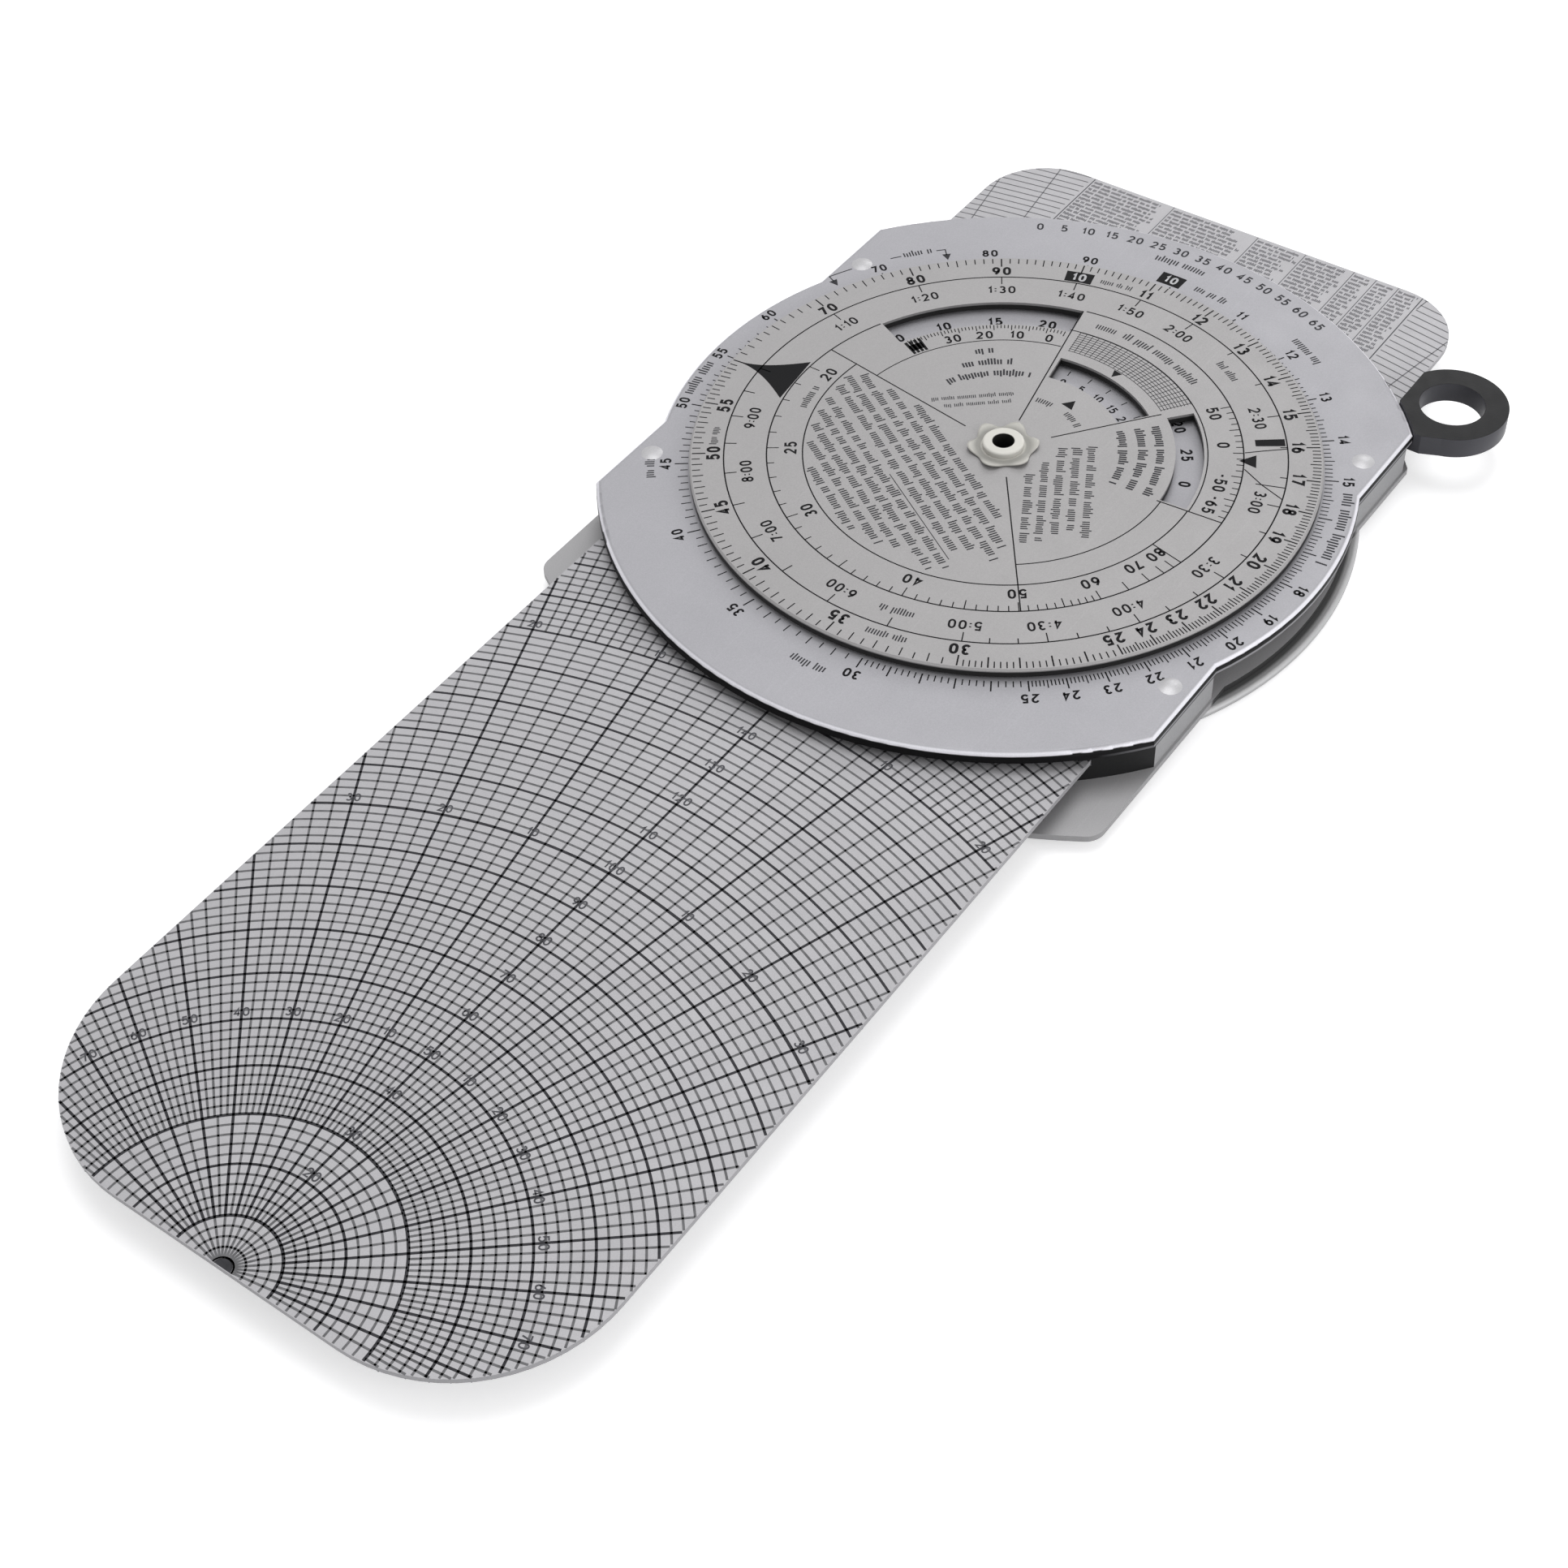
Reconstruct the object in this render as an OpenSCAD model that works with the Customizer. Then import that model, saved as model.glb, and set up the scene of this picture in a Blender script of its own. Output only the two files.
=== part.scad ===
// Circular slide rule in a sliding-card frame.
// The front carries a turning scale disc, the back a turning compass ring with a
// window, and a long card slides between the two plates.
// X is across the card, Y along it, Z up from the face that the object lies on.
// The disc, the ring and the window share the Z axis.

/* [Slide card] */
// Width of the card
card_w = 96; // [80:1:120]
// Length of the card
card_l = 278; // [240:1:340]
// Thickness of the card
card_t = 1; // [0.6:0.1:1.6]
// Distance from the pivot to the card's lower edge at rest
card_reach = 195; // [150:1:230]
// Corner radius at the card's lower end
card_low_r = 27; // [2:1:38]
// Corner radius at the card's upper end
card_top_r = 13.5; // [2:0.5:30]

/* [Frame plates] */
// Length of the plates' straight sides, corner to corner
side_l = 86.6; // [76:0.2:100]
// How far the round bulges stand out from the straight sides
bulge_out = 5; // [4:0.1:6]
// Thickness of the front plate
front_t = 2; // [1.4:0.1:4]
// Rounding of the front plate's upper edge
front_edge_r = 1; // [0.2:0.1:1.3]
// Thickness of the rear plate
rear_t = 1.2; // [0.8:0.1:3]
// How far the rear plate's bulge stays inside the front plate's
rear_inset = 1.2; // [0:0.1:1.4]
// How far the rear plate's straight sides stand out past the front plate's
rear_out = 0.1; // [0:0.1:2]
// How far the rear plate's lower end stands out past the front plate
tail_out = 5.4; // [1:0.2:20]
// Radius of the rear plate's lower end
tail_r = 103; // [85:1:140]
// Corner radius at the rear plate's lower end
tail_corner_r = 3.5; // [0.5:0.5:8]

/* [Guides] */
// Width of the guides outside the card's edge
guide_w = 7; // [6:0.1:9]
// How far the guides' outer faces stay inside the plates' straight sides
guide_set = 0.3; // [0:0.05:0.8]
// How far the guides reach over the card's edge
guide_lip = 1.5; // [0.8:0.1:3]
// How far the guides' ends stay inside the plates' end circle
guide_inset = 1; // [0:0.1:3]

/* [Frame rivets] */
// Distance of the frame rivets from the plates' corners, along Y
rivet_in = 11.1; // [9:0.1:14]
// Diameter of the frame rivets
rivet_d = 2.5; // [1.6:0.1:2.8]
// Diameter of the frame rivets' heads
rivet_head_d = 3.8; // [3.2:0.1:5]
// Height of the frame rivets' heads
rivet_head_h = 0.35; // [0.1:0.05:0.8]
// Depth of the countersink under the rear plate
rivet_sink = 0.6; // [0.2:0.05:0.7]

/* [Slide pads] */
// Diameter of a felt pad
pad_d = 8; // [4:0.5:12]
// Distance of the pads from the card's edge
pad_in = 10; // [7:0.5:20]
// Distance of the pads past the plates' corners, along Y
pad_past = 6.7; // [2:0.1:9]
// Room between the card and the front plate, which the pads take up
pad_room = 1.5; // [1.4:0.05:3]

/* [Lanyard ring] */
// Outer diameter of the loop
lanyard_d = 19.2; // [17:0.2:24]
// Bore of the loop
lanyard_bore_d = 11.2; // [6:0.2:13]
// Distance of the loop's centre past the plates' corner, along Y
lanyard_out = 10.6; // [10:0.1:15]
// Distance of the loop's centre from the card's edge
lanyard_side = 9.3; // [8:0.1:14]
// Width of the web past the plates' straight side
web_out = 1.4; // [0.6:0.1:3]
// Thickness of the tongue under the front plate
tongue_t = 1.8; // [1.2:0.1:3]
// Wall of the guide on either side of the tongue
pocket_wall = 1.2; // [0.6:0.1:1.6]
// Length of the tongue past the rivet
tongue_end = 4.5; // [2.5:0.1:6]

/* [Calculator disc] */
// Width of the fixed scale that shows outside the disc, at the bulges
scale_w = 6.3; // [4:0.1:8]
// Thickness of the disc
disc_t = 1.5; // [1:0.1:3]
// Bevel of the disc's upper edge
disc_bevel = 0.3; // [0.1:0.1:0.9]
// Turn of the disc at rest, counter-clockwise from the top index
disc_turn = 16.4; // [0:0.1:360]
// Distance of the altitude window from the disc's edge
alt_in = 13.5; // [12:0.1:16]
// Width of the altitude window
alt_w = 6.5; // [4:0.1:8]
// Start and end of the altitude window, degrees clockwise from the disc's index
alt_span = [-48.6, 4.9];
// Inner radius of the density window
den_r = 20.6; // [12:0.1:22]
// Width of the density window
den_w = 5.9; // [3:0.1:6.5]
// Start and end of the density window, degrees clockwise from the disc's index
den_span = [6.4, 54.9];
// Inner radius of the speed window
speed_r = 29.2; // [28.5:0.1:32]
// Width of the speed window
speed_w = 4.8; // [3:0.1:6]
// Start and end of the speed window, degrees clockwise from the disc's index
speed_span = [57.9, 100.9];

/* [Pivot] */
// Bore of the hollow pivot rivet
pivot_bore_d = 3.7; // [2:0.1:4.4]
// Diameter of the rivet's barrel, which the disc turns on
pivot_d = 6; // [5:0.1:8]
// Width of the rivet's collar past the barrel
collar_w = 0.6; // [0.4:0.05:1.4]
// Height of the collar
collar_h = 1.1; // [0.6:0.05:2]
// Rounding of the collar's edge
collar_edge_r = 0.4; // [0.1:0.05:0.5]
// Width of the flared washer past the collar
cap_w = 2.6; // [1.6:0.1:4]
// Height of the flared washer
cap_h = 0.35; // [0.3:0.05:1.2]
// Height of the flared washer at its rim
cap_rim_h = 0.2; // [0.1:0.05:0.25]
// Width of the dished washer under the disc
spring_w = 5; // [3:0.1:9]
// Height of the dished washer
spring_h = 0.55; // [0.4:0.05:1.2]
// Thickness of the dished washer
spring_t = 0.3; // [0.2:0.05:0.35]
// Width of the lock washer under the front plate
lock_w = 2.5; // [1.8:0.1:5]
// Thickness of the lock washer
lock_t = 0.7; // [0.4:0.05:0.9]
// Thickness of the rivet's clinched foot
foot_t = 0.35; // [0.2:0.05:0.4]
// Width of the clinched foot past the barrel
foot_w = 1.1; // [0.6:0.1:1.6]

/* [Azimuth ring] */
// How far the ring stands out past the plates' bulges
ring_out = 0.9; // [0:0.1:3]
// Thickness of the ring
ring_t = 1.6; // [1.4:0.1:3]
// Width of the ring outside the rear plate's opening
ring_flange_w = 9.7; // [7:0.1:12]
// Wall of the ring's neck, which turns in the rear plate's opening
neck_w = 4.8; // [4.4:0.1:6]
// Width of the ring's lip inside the neck
ring_lip_w = 1.1; // [0.5:0.1:4]
// Width of the neck's top that the window lies on
window_seat_w = 1.8; // [1.2:0.1:2.2]
// Thickness of the window
window_t = 1.2; // [0.8:0.1:2]
// Width of the retainer outside the rear plate's opening
retainer_out = 2.5; // [1.4:0.1:3]
// Width of the retainer's lip over the window
retainer_lip_w = 1.6; // [0.8:0.1:3]
// Thickness of the retainer's lip over the window
retainer_lip_t = 0.8; // [0.5:0.05:1.4]
// Diameter of the ring's rivets
ring_rivet_d = 1.6; // [1:0.1:1.8]
// Number of the ring's rivets
ring_rivets = 8; // [4:1:12]
// Height of the ring rivets' heads
ring_head_h = 0.3; // [0.1:0.05:0.5]
// Width of the grommet's flanges past its barrel
grommet_w = 1.1; // [0.6:0.1:3]
// Barrel diameter of the window's grommet
grommet_d = 3; // [2:0.1:4]
// Bore of the grommet
grommet_bore_d = 1.2; // [0.6:0.1:1.8]
// Thickness of the grommet's flanges
grommet_t = 0.3; // [0.2:0.05:0.35]

/* [Clearances] */
// Gap around the card in its grooves
card_clear = 0.15; // [0.05:0.05:0.3]
// Gap between the card and the ring's rivet heads
card_over = 0.75; // [0.5:0.05:2]
// Gap between the card's edge and the lanyard ring
lanyard_clear = 1.3; // [0.3:0.1:2]
// Gap between the lanyard ring and the front plate's edge
plate_clear = 0.1; // [0.03:0.01:0.3]
// Axial play of the disc and of the azimuth ring
play = 0.1; // [0.05:0.05:0.15]
// Radial clearance of the turning fits
turn_clear = 0.06; // [0.02:0.01:0.1]
// Radial clearance of riveted and laid-in pieces
seat_clear = 0.03; // [0.01:0.01:0.1]
// Gap between the retainer and the guides
swing_clear = 0.6; // [0.3:0.1:1]

/* [Hidden] */
$fn = 96;
// Overlap that carries a cut through a face
cut = 0.5;

// Outlines that follow from the card, in half widths and radii
card_x = card_w / 2;
groove_x = card_x + card_clear;
guide_x = card_x + guide_w;
flat_x = guide_x + guide_set;
corner_y = side_l / 2;
end_r = sqrt(pow(flat_x, 2) + pow(corner_y, 2));
bulge_r = flat_x + bulge_out;
bulge_y = sqrt(pow(bulge_r, 2) - pow(flat_x, 2));
rear_x = flat_x + rear_out;
tail_y = end_r + tail_out;
disc_r = bulge_r - scale_w;
alt_r = disc_r - alt_in - alt_w;

// Radii of the azimuth ring's pieces, from the rim in
ring_r = bulge_r + ring_out;
opening_r = ring_r - ring_flange_w;
neck_r = opening_r - turn_clear;
neck_bore_r = neck_r - neck_w;
view_r = neck_bore_r - ring_lip_w;
window_r = neck_bore_r + window_seat_w;
retainer_r = opening_r + retainer_out;
retainer_wall_r = window_r + seat_clear;
retainer_bore_r = retainer_wall_r - retainer_lip_w;
ring_rivet_r = (retainer_wall_r + neck_r) / 2;

// Radii of the pivot's pieces
pivot_r = pivot_d / 2;
pivot_seat_r = pivot_r + seat_clear;
collar_r = pivot_r + collar_w;

// Heights of the layers, from the resting face up
rear_z = ring_t + play;
inner_z = rear_z + rear_t;
neck_top = inner_z + play;
retainer_h = window_t + play + retainer_lip_t;
card_z = neck_top + retainer_h + ring_head_h + card_over;
card_top = card_z + card_t;
front_z = card_top + pad_room;
guide_h = front_z - inner_z;
face_z = front_z + front_t;
disc_z = face_z + spring_h + play;
cap_z = disc_z + disc_t + play;
collar_z = cap_z + cap_h;
foot_z = front_z - lock_t - foot_t;

// Places of the frame rivets and of the lanyard loop
rivet_x = (groove_x + guide_x) / 2;
rivet_y = corner_y - rivet_in;
pocket_w = guide_x - groove_x - 2 * pocket_wall;
tongue_w = pocket_w - 2 * seat_clear;
lanyard_x = card_x + lanyard_side;
lanyard_y = corner_y + lanyard_out;
lanyard_z = front_z - tongue_t;
lanyard_t = face_z - lanyard_z;
quarters = [[-1, 1], [1, 1], [-1, -1], [1, -1]];

// A point on a dial, at a radius and an angle clockwise from the top
function dial(r, a) = [r * sin(a), r * cos(a)];

// Where a guide ends, along Y, at a distance from the Y axis
function guide_end(x) = sqrt(pow(end_r - guide_inset, 2) - x * x);

// A flat ring
module washer(r_out, r_in, h) {
    difference() {
        cylinder(r = r_out, h = h);
        translate([0, 0, -cut])
            cylinder(r = r_in, h = h + 2 * cut);
    }
}

// A place at each frame rivet
module at_rivets() {
    for (s = quarters)
        translate([s[0] * rivet_x, s[1] * rivet_y, 0])
            children();
}

// A block cut out of a ring between two dial angles
module ring_sector(r_in, r_out, span, h) {
    linear_extrude(height = h)
        intersection() {
            difference() {
                circle(r = r_out);
                circle(r = r_in);
            }
            polygon([[0, 0], dial(2 * r_out, span[0]), dial(2 * r_out, span[1])]);
        }
}

// Half of a plate's section, w wide and t thick, with its upper outer edge rounded
module rounded_section(w, t, r) {
    square([w - r, t]);
    square([w, t - r]);
    translate([w - r, t - r])
        circle(r = r);
}

// A round plate with a rounded upper edge
module rounded_disc(r_out, t, r) {
    rotate_extrude()
        rounded_section(r_out, t, r);
}

// A straight bar along Y, as wide as the plates, with rounded upper edges
module rounded_bar(half_w, l, t, r) {
    rotate([90, 0, 0])
        linear_extrude(height = l, center = true) {
            rounded_section(half_w, t, r);
            mirror([1, 0, 0])
                rounded_section(half_w, t, r);
        }
}

module front_plate() {
    color([0.70, 0.70, 0.72])
        translate([0, 0, front_z])
            difference() {
                union() {
                    intersection() {
                        rounded_disc(end_r, front_t, front_edge_r);
                        rounded_bar(flat_x, 2 * end_r + 2 * cut, front_t, front_edge_r);
                    }
                    rounded_disc(bulge_r, front_t, front_edge_r);
                }
                translate([0, 0, -cut])
                    cylinder(r = pivot_seat_r, h = front_t + 2 * cut);
                at_rivets()
                    translate([0, 0, -cut])
                        cylinder(d = rivet_d + 2 * seat_clear, h = front_t + 2 * cut);
            }
}

// The rear plate's outline: the front plate's upper end, and a longer, flatter tail
// with round corners
module rear_outline() {
    mid_y = tail_r - tail_y;
    corner_mid_x = rear_x - tail_corner_r;
    corner_mid_y = mid_y - sqrt(pow(tail_r - tail_corner_r, 2) - pow(corner_mid_x, 2));
    fan_y = 2 * corner_mid_y - mid_y;
    intersection() {
        circle(r = end_r);
        translate([-rear_x, 0])
            square([2 * rear_x, end_r]);
    }
    translate([-rear_x, corner_mid_y])
        square([2 * rear_x, -corner_mid_y]);
    intersection() {
        translate([0, mid_y])
            circle(r = tail_r);
        polygon([[0, mid_y], [-2 * corner_mid_x, fan_y], [2 * corner_mid_x, fan_y]]);
    }
    for (side = [-1, 1])
        translate([side * corner_mid_x, corner_mid_y])
            circle(r = tail_corner_r);
    circle(r = bulge_r - rear_inset);
}

module rear_plate() {
    color([0.66, 0.66, 0.68])
        translate([0, 0, rear_z])
            difference() {
                linear_extrude(height = rear_t)
                    difference() {
                        rear_outline();
                        circle(r = opening_r);
                    }
                at_rivets()
                    rivet_hole(rear_t);
            }
}

// The hole for a frame rivet, countersunk from below
module rivet_hole(h) {
    translate([0, 0, -cut])
        cylinder(d = rivet_d + 2 * seat_clear, h = h + 2 * cut);
    cylinder(d1 = rivet_head_d + 2 * seat_clear, d2 = rivet_d + 2 * seat_clear, h = rivet_sink);
}

module frame_rivets() {
    color([0.74, 0.74, 0.76])
        at_rivets()
            translate([0, 0, rear_z]) {
                cylinder(d = rivet_d, h = face_z - rear_z);
                cylinder(d1 = rivet_head_d, d2 = rivet_d, h = rivet_sink);
                translate([0, 0, face_z - rear_z])
                    rivet_dome(rivet_head_d, rivet_head_h);
            }
}

// A low domed rivet head
module rivet_dome(d, h) {
    dome_r = (pow(d / 2, 2) + h * h) / (2 * h);
    intersection() {
        translate([0, 0, h - dome_r])
            sphere(r = dome_r);
        cylinder(d = d, h = 2 * h);
    }
}

// A grooved strip between the plates, for the upper right quarter
module guide() {
    difference() {
        linear_extrude(height = guide_h)
            difference() {
                intersection() {
                    circle(r = end_r - guide_inset);
                    translate([card_x - guide_lip, bulge_y])
                        square([guide_w + guide_lip, end_r]);
                }
                circle(r = retainer_r + swing_clear);
            }
        translate([0, 0, card_z - inner_z - card_clear])
            cube([groove_x, end_r, card_t + 2 * card_clear]);
        translate([rivet_x, rivet_y, -cut])
            cylinder(d = rivet_d + 2 * seat_clear, h = guide_h + 2 * cut);
    }
}

module guide_upper_left() {
    color([0.62, 0.62, 0.64])
        translate([0, 0, inner_z])
            mirror([1, 0, 0])
                guide();
}

module guide_upper_right() {
    color([0.62, 0.62, 0.64])
        translate([0, 0, inner_z])
            difference() {
                guide();
                translate([
                    rivet_x - pocket_w / 2,
                    rivet_y - tongue_end - seat_clear,
                    lanyard_z - inner_z - seat_clear
                ])
                    cube([pocket_w, end_r, tongue_t + seat_clear + cut]);
            }
}

module guide_lower_left() {
    color([0.62, 0.62, 0.64])
        translate([0, 0, inner_z])
            rotate([0, 0, 180])
                guide();
}

module guide_lower_right() {
    color([0.62, 0.62, 0.64])
        translate([0, 0, inner_z])
            mirror([0, 1, 0])
                guide();
}

module slide_pads() {
    color([0.20, 0.22, 0.21])
        for (s = quarters)
            translate([s[0] * (card_x - pad_in), s[1] * (corner_y + pad_past), card_top + card_clear])
                cylinder(d = pad_d, h = pad_room - card_clear);
}

// An upper end of the plates or the guides: a circle between two straight sides
module end_outline(r, half_w) {
    intersection() {
        circle(r = r);
        translate([-half_w, 0])
            square([2 * half_w, r]);
    }
}

// The loop, cut straight beside the card, its web, and the tongue that the corner rivet holds
module lanyard_outline() {
    web_x = card_x + lanyard_clear;
    loop_r = lanyard_d / 2;
    left_x = rivet_x - tongue_w / 2;
    foot_y = rivet_y - tongue_end;
    difference() {
        intersection() {
            union() {
                translate([lanyard_x, lanyard_y])
                    circle(r = loop_r);
                polygon([
                    [lanyard_x, lanyard_y],
                    [web_x, lanyard_y],
                    [web_x, corner_y],
                    [flat_x + web_out, corner_y],
                    [lanyard_x + loop_r * sin(30), lanyard_y - loop_r * cos(30)]
                ]);
            }
            translate([web_x, 0])
                square([2 * lanyard_d, 2 * lanyard_y]);
        }
        end_outline(end_r - guide_inset + seat_clear, guide_x + seat_clear);
    }
    translate([left_x, foot_y])
        square([tongue_w, guide_end(left_x) + lanyard_clear - foot_y]);
}

module lanyard_ring() {
    color([0.13, 0.13, 0.14])
        translate([0, 0, lanyard_z])
            difference() {
                linear_extrude(height = lanyard_t)
                    lanyard_outline();
                translate([0, 0, tongue_t - seat_clear])
                    linear_extrude(height = front_t + cut)
                        end_outline(end_r + plate_clear, flat_x + plate_clear);
                translate([lanyard_x, lanyard_y, -cut])
                    cylinder(d = lanyard_bore_d, h = lanyard_t + 2 * cut);
                translate([rivet_x, rivet_y, -cut])
                    cylinder(d = rivet_d + 2 * seat_clear, h = lanyard_t + 2 * cut);
            }
}

module calculator_disc() {
    color([0.72, 0.72, 0.72])
        translate([0, 0, disc_z])
            rotate([0, 0, disc_turn])
                difference() {
                    rotate_extrude()
                        polygon([
                            [0, 0],
                            [disc_r, 0],
                            [disc_r, disc_t - disc_bevel],
                            [disc_r - disc_bevel, disc_t],
                            [0, disc_t]
                        ]);
                    translate([0, 0, -cut]) {
                        cylinder(r = pivot_r + turn_clear, h = disc_t + 2 * cut);
                        ring_sector(alt_r, alt_r + alt_w, alt_span, disc_t + 2 * cut);
                        ring_sector(den_r, den_r + den_w, den_span, disc_t + 2 * cut);
                        ring_sector(speed_r, speed_r + speed_w, speed_span, disc_t + 2 * cut);
                    }
                }
}

module pivot_rivet() {
    color([0.84, 0.82, 0.77])
        difference() {
            union() {
                translate([0, 0, foot_z])
                    cylinder(r = pivot_r + foot_w, h = foot_t);
                translate([0, 0, foot_z])
                    cylinder(r = pivot_r, h = collar_z - foot_z);
                translate([0, 0, collar_z])
                    rounded_disc(collar_r, collar_h, collar_edge_r);
            }
            translate([0, 0, foot_z - cut])
                cylinder(d = pivot_bore_d, h = collar_z + collar_h - foot_z + 2 * cut);
        }
}

module pivot_cap_washer() {
    color([0.82, 0.80, 0.76])
        translate([0, 0, cap_z])
            rotate_extrude()
                polygon([
                    [pivot_seat_r, 0],
                    [collar_r + cap_w, 0],
                    [collar_r + cap_w, cap_rim_h],
                    [collar_r, cap_h],
                    [pivot_seat_r, cap_h]
                ]);
}

module disc_spring_washer() {
    color([0.55, 0.55, 0.57])
        translate([0, 0, face_z])
            rotate_extrude()
                polygon([
                    [pivot_seat_r, spring_h - spring_t],
                    [pivot_r + spring_w, 0],
                    [pivot_r + spring_w, spring_t],
                    [pivot_seat_r, spring_h]
                ]);
}

module pivot_lock_washer() {
    color([0.58, 0.58, 0.60])
        translate([0, 0, front_z - lock_t])
            washer(pivot_r + lock_w, pivot_seat_r, lock_t);
}

// The ring's section: a full round rim outside, and a neck that stands in the rear
// plate's opening and carries the window
module azimuth_ring() {
    rim_r = ring_t / 2;
    color([0.64, 0.64, 0.66])
        difference() {
            rotate_extrude() {
                translate([view_r, 0])
                    square([ring_r - rim_r - view_r, ring_t]);
                translate([ring_r - rim_r, rim_r])
                    circle(r = rim_r);
                translate([neck_bore_r, 0])
                    square([neck_w, neck_top]);
            }
            at_ring_rivets() {
                translate([0, 0, -cut])
                    cylinder(d = ring_rivet_d + 2 * seat_clear, h = neck_top + 2 * cut);
                cylinder(
                    d1 = 2 * ring_rivet_d + 2 * seat_clear,
                    d2 = ring_rivet_d + 2 * seat_clear,
                    h = ring_rivet_d / 2
                );
            }
        }
}

// A place at each of the ring's rivets
module at_ring_rivets() {
    for (i = [0 : ring_rivets - 1])
        rotate([0, 0, (i + 0.5) * 360 / ring_rivets])
            translate([ring_rivet_r, 0, 0])
                children();
}

module azimuth_retainer() {
    color([0.60, 0.60, 0.62])
        translate([0, 0, neck_top])
            difference() {
                rotate_extrude() {
                    translate([retainer_wall_r, 0])
                        square([retainer_r - retainer_wall_r, retainer_h]);
                    translate([retainer_bore_r, retainer_h - retainer_lip_t])
                        square([retainer_lip_w + cut, retainer_lip_t]);
                }
                at_ring_rivets()
                    translate([0, 0, -cut])
                        cylinder(d = ring_rivet_d + 2 * seat_clear, h = retainer_h + 2 * cut);
            }
}

module azimuth_rivets() {
    top = neck_top + retainer_h;
    color([0.74, 0.74, 0.76])
        at_ring_rivets() {
            cylinder(d = ring_rivet_d, h = top);
            cylinder(d1 = 2 * ring_rivet_d, d2 = ring_rivet_d, h = ring_rivet_d / 2);
            translate([0, 0, top])
                rivet_dome(2 * ring_rivet_d, ring_head_h);
        }
}

module azimuth_window() {
    color([0.85, 0.90, 0.92, 0.4])
        translate([0, 0, neck_top])
            washer(window_r, grommet_d / 2 + seat_clear, window_t);
}

module window_grommet() {
    color([0.70, 0.66, 0.52])
        translate([0, 0, neck_top])
            difference() {
                union() {
                    translate([0, 0, -grommet_t])
                        cylinder(d = grommet_d + 2 * grommet_w, h = grommet_t);
                    cylinder(d = grommet_d, h = window_t);
                    translate([0, 0, window_t])
                        cylinder(d = grommet_d + 2 * grommet_w, h = grommet_t);
                }
                translate([0, 0, -grommet_t - cut])
                    cylinder(d = grommet_bore_d, h = window_t + 2 * grommet_t + 2 * cut);
            }
}

// A straight band across the card with round outer corners at its lower edge
module card_end(r) {
    translate([-card_x + r, 0])
        square([card_w - 2 * r, r]);
    for (side = [-1, 1])
        translate([side * (card_x - r), r])
            circle(r = r);
}

module slide_card() {
    color([0.70, 0.70, 0.71])
        translate([0, -card_reach, card_z])
            linear_extrude(height = card_t) {
                card_end(card_low_r);
                translate([-card_x, card_low_r])
                    square([card_w, card_l - card_low_r - card_top_r]);
                translate([0, card_l])
                    mirror([0, 1])
                        card_end(card_top_r);
            }
}

front_plate();
rear_plate();
guide_upper_left();
guide_upper_right();
guide_lower_left();
guide_lower_right();
frame_rivets();
slide_pads();
lanyard_ring();
calculator_disc();
pivot_rivet();
pivot_cap_washer();
disc_spring_washer();
pivot_lock_washer();
azimuth_ring();
azimuth_retainer();
azimuth_rivets();
azimuth_window();
window_grommet();
slide_card();
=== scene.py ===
"""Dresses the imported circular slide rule: printed scales, finishes, light and camera.

Lengths are in millimetres and are turned to metres where a mesh or a shader takes them. The
floor and the lamps are in metres. A dial angle is in degrees, clockwise from +Y as seen from
the printed side.
"""

import math
import random

import bpy
from mathutils import Matrix, Vector


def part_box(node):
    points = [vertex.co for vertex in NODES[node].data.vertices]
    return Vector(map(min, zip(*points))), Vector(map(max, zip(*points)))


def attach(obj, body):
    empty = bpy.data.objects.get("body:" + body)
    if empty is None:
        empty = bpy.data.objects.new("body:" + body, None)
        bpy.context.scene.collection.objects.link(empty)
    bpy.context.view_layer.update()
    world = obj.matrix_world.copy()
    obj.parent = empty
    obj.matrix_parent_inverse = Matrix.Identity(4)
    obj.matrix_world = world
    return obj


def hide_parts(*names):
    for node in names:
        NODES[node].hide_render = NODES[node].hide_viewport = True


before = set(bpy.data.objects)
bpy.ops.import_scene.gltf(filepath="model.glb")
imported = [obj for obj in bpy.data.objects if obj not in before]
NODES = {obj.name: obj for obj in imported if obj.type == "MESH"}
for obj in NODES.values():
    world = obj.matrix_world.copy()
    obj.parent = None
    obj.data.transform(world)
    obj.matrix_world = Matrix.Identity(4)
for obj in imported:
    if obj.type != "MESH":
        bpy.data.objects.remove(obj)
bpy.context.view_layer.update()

MM = 0.001
random.seed(7)


# Places, from the frame

def top_of(node):
    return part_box(node)[1].z / MM


def under(node):
    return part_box(node)[0].z / MM


CARD_LOW_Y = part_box("slide_card")[0].y / MM
CARD_TOP_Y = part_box("slide_card")[1].y / MM
CARD_HALF_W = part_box("slide_card")[1].x / MM

# Corner radii of the card, at its lower and its upper end
CARD_LOW_R = 27.0
CARD_TOP_R = 13.5
# Half the front plate's width, between the flats at its sides
FLAT_X = 55.3
# How far the disc stands turned in the photo
DISC_TURN = 16.4


# Characters

def spaced(start, end, steps):
    """Values in even steps, with both ends."""
    return [start + (end - start) * i / steps for i in range(steps + 1)]


def bow(x, y, rx, ry, start, end, steps=10):
    """Points along a part of an ellipse, with angles counter-clockwise from +X."""
    angles = [math.radians(a) for a in spaced(start, end, steps)]
    return [(x + rx * math.cos(a), y + ry * math.sin(a)) for a in angles]


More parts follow.
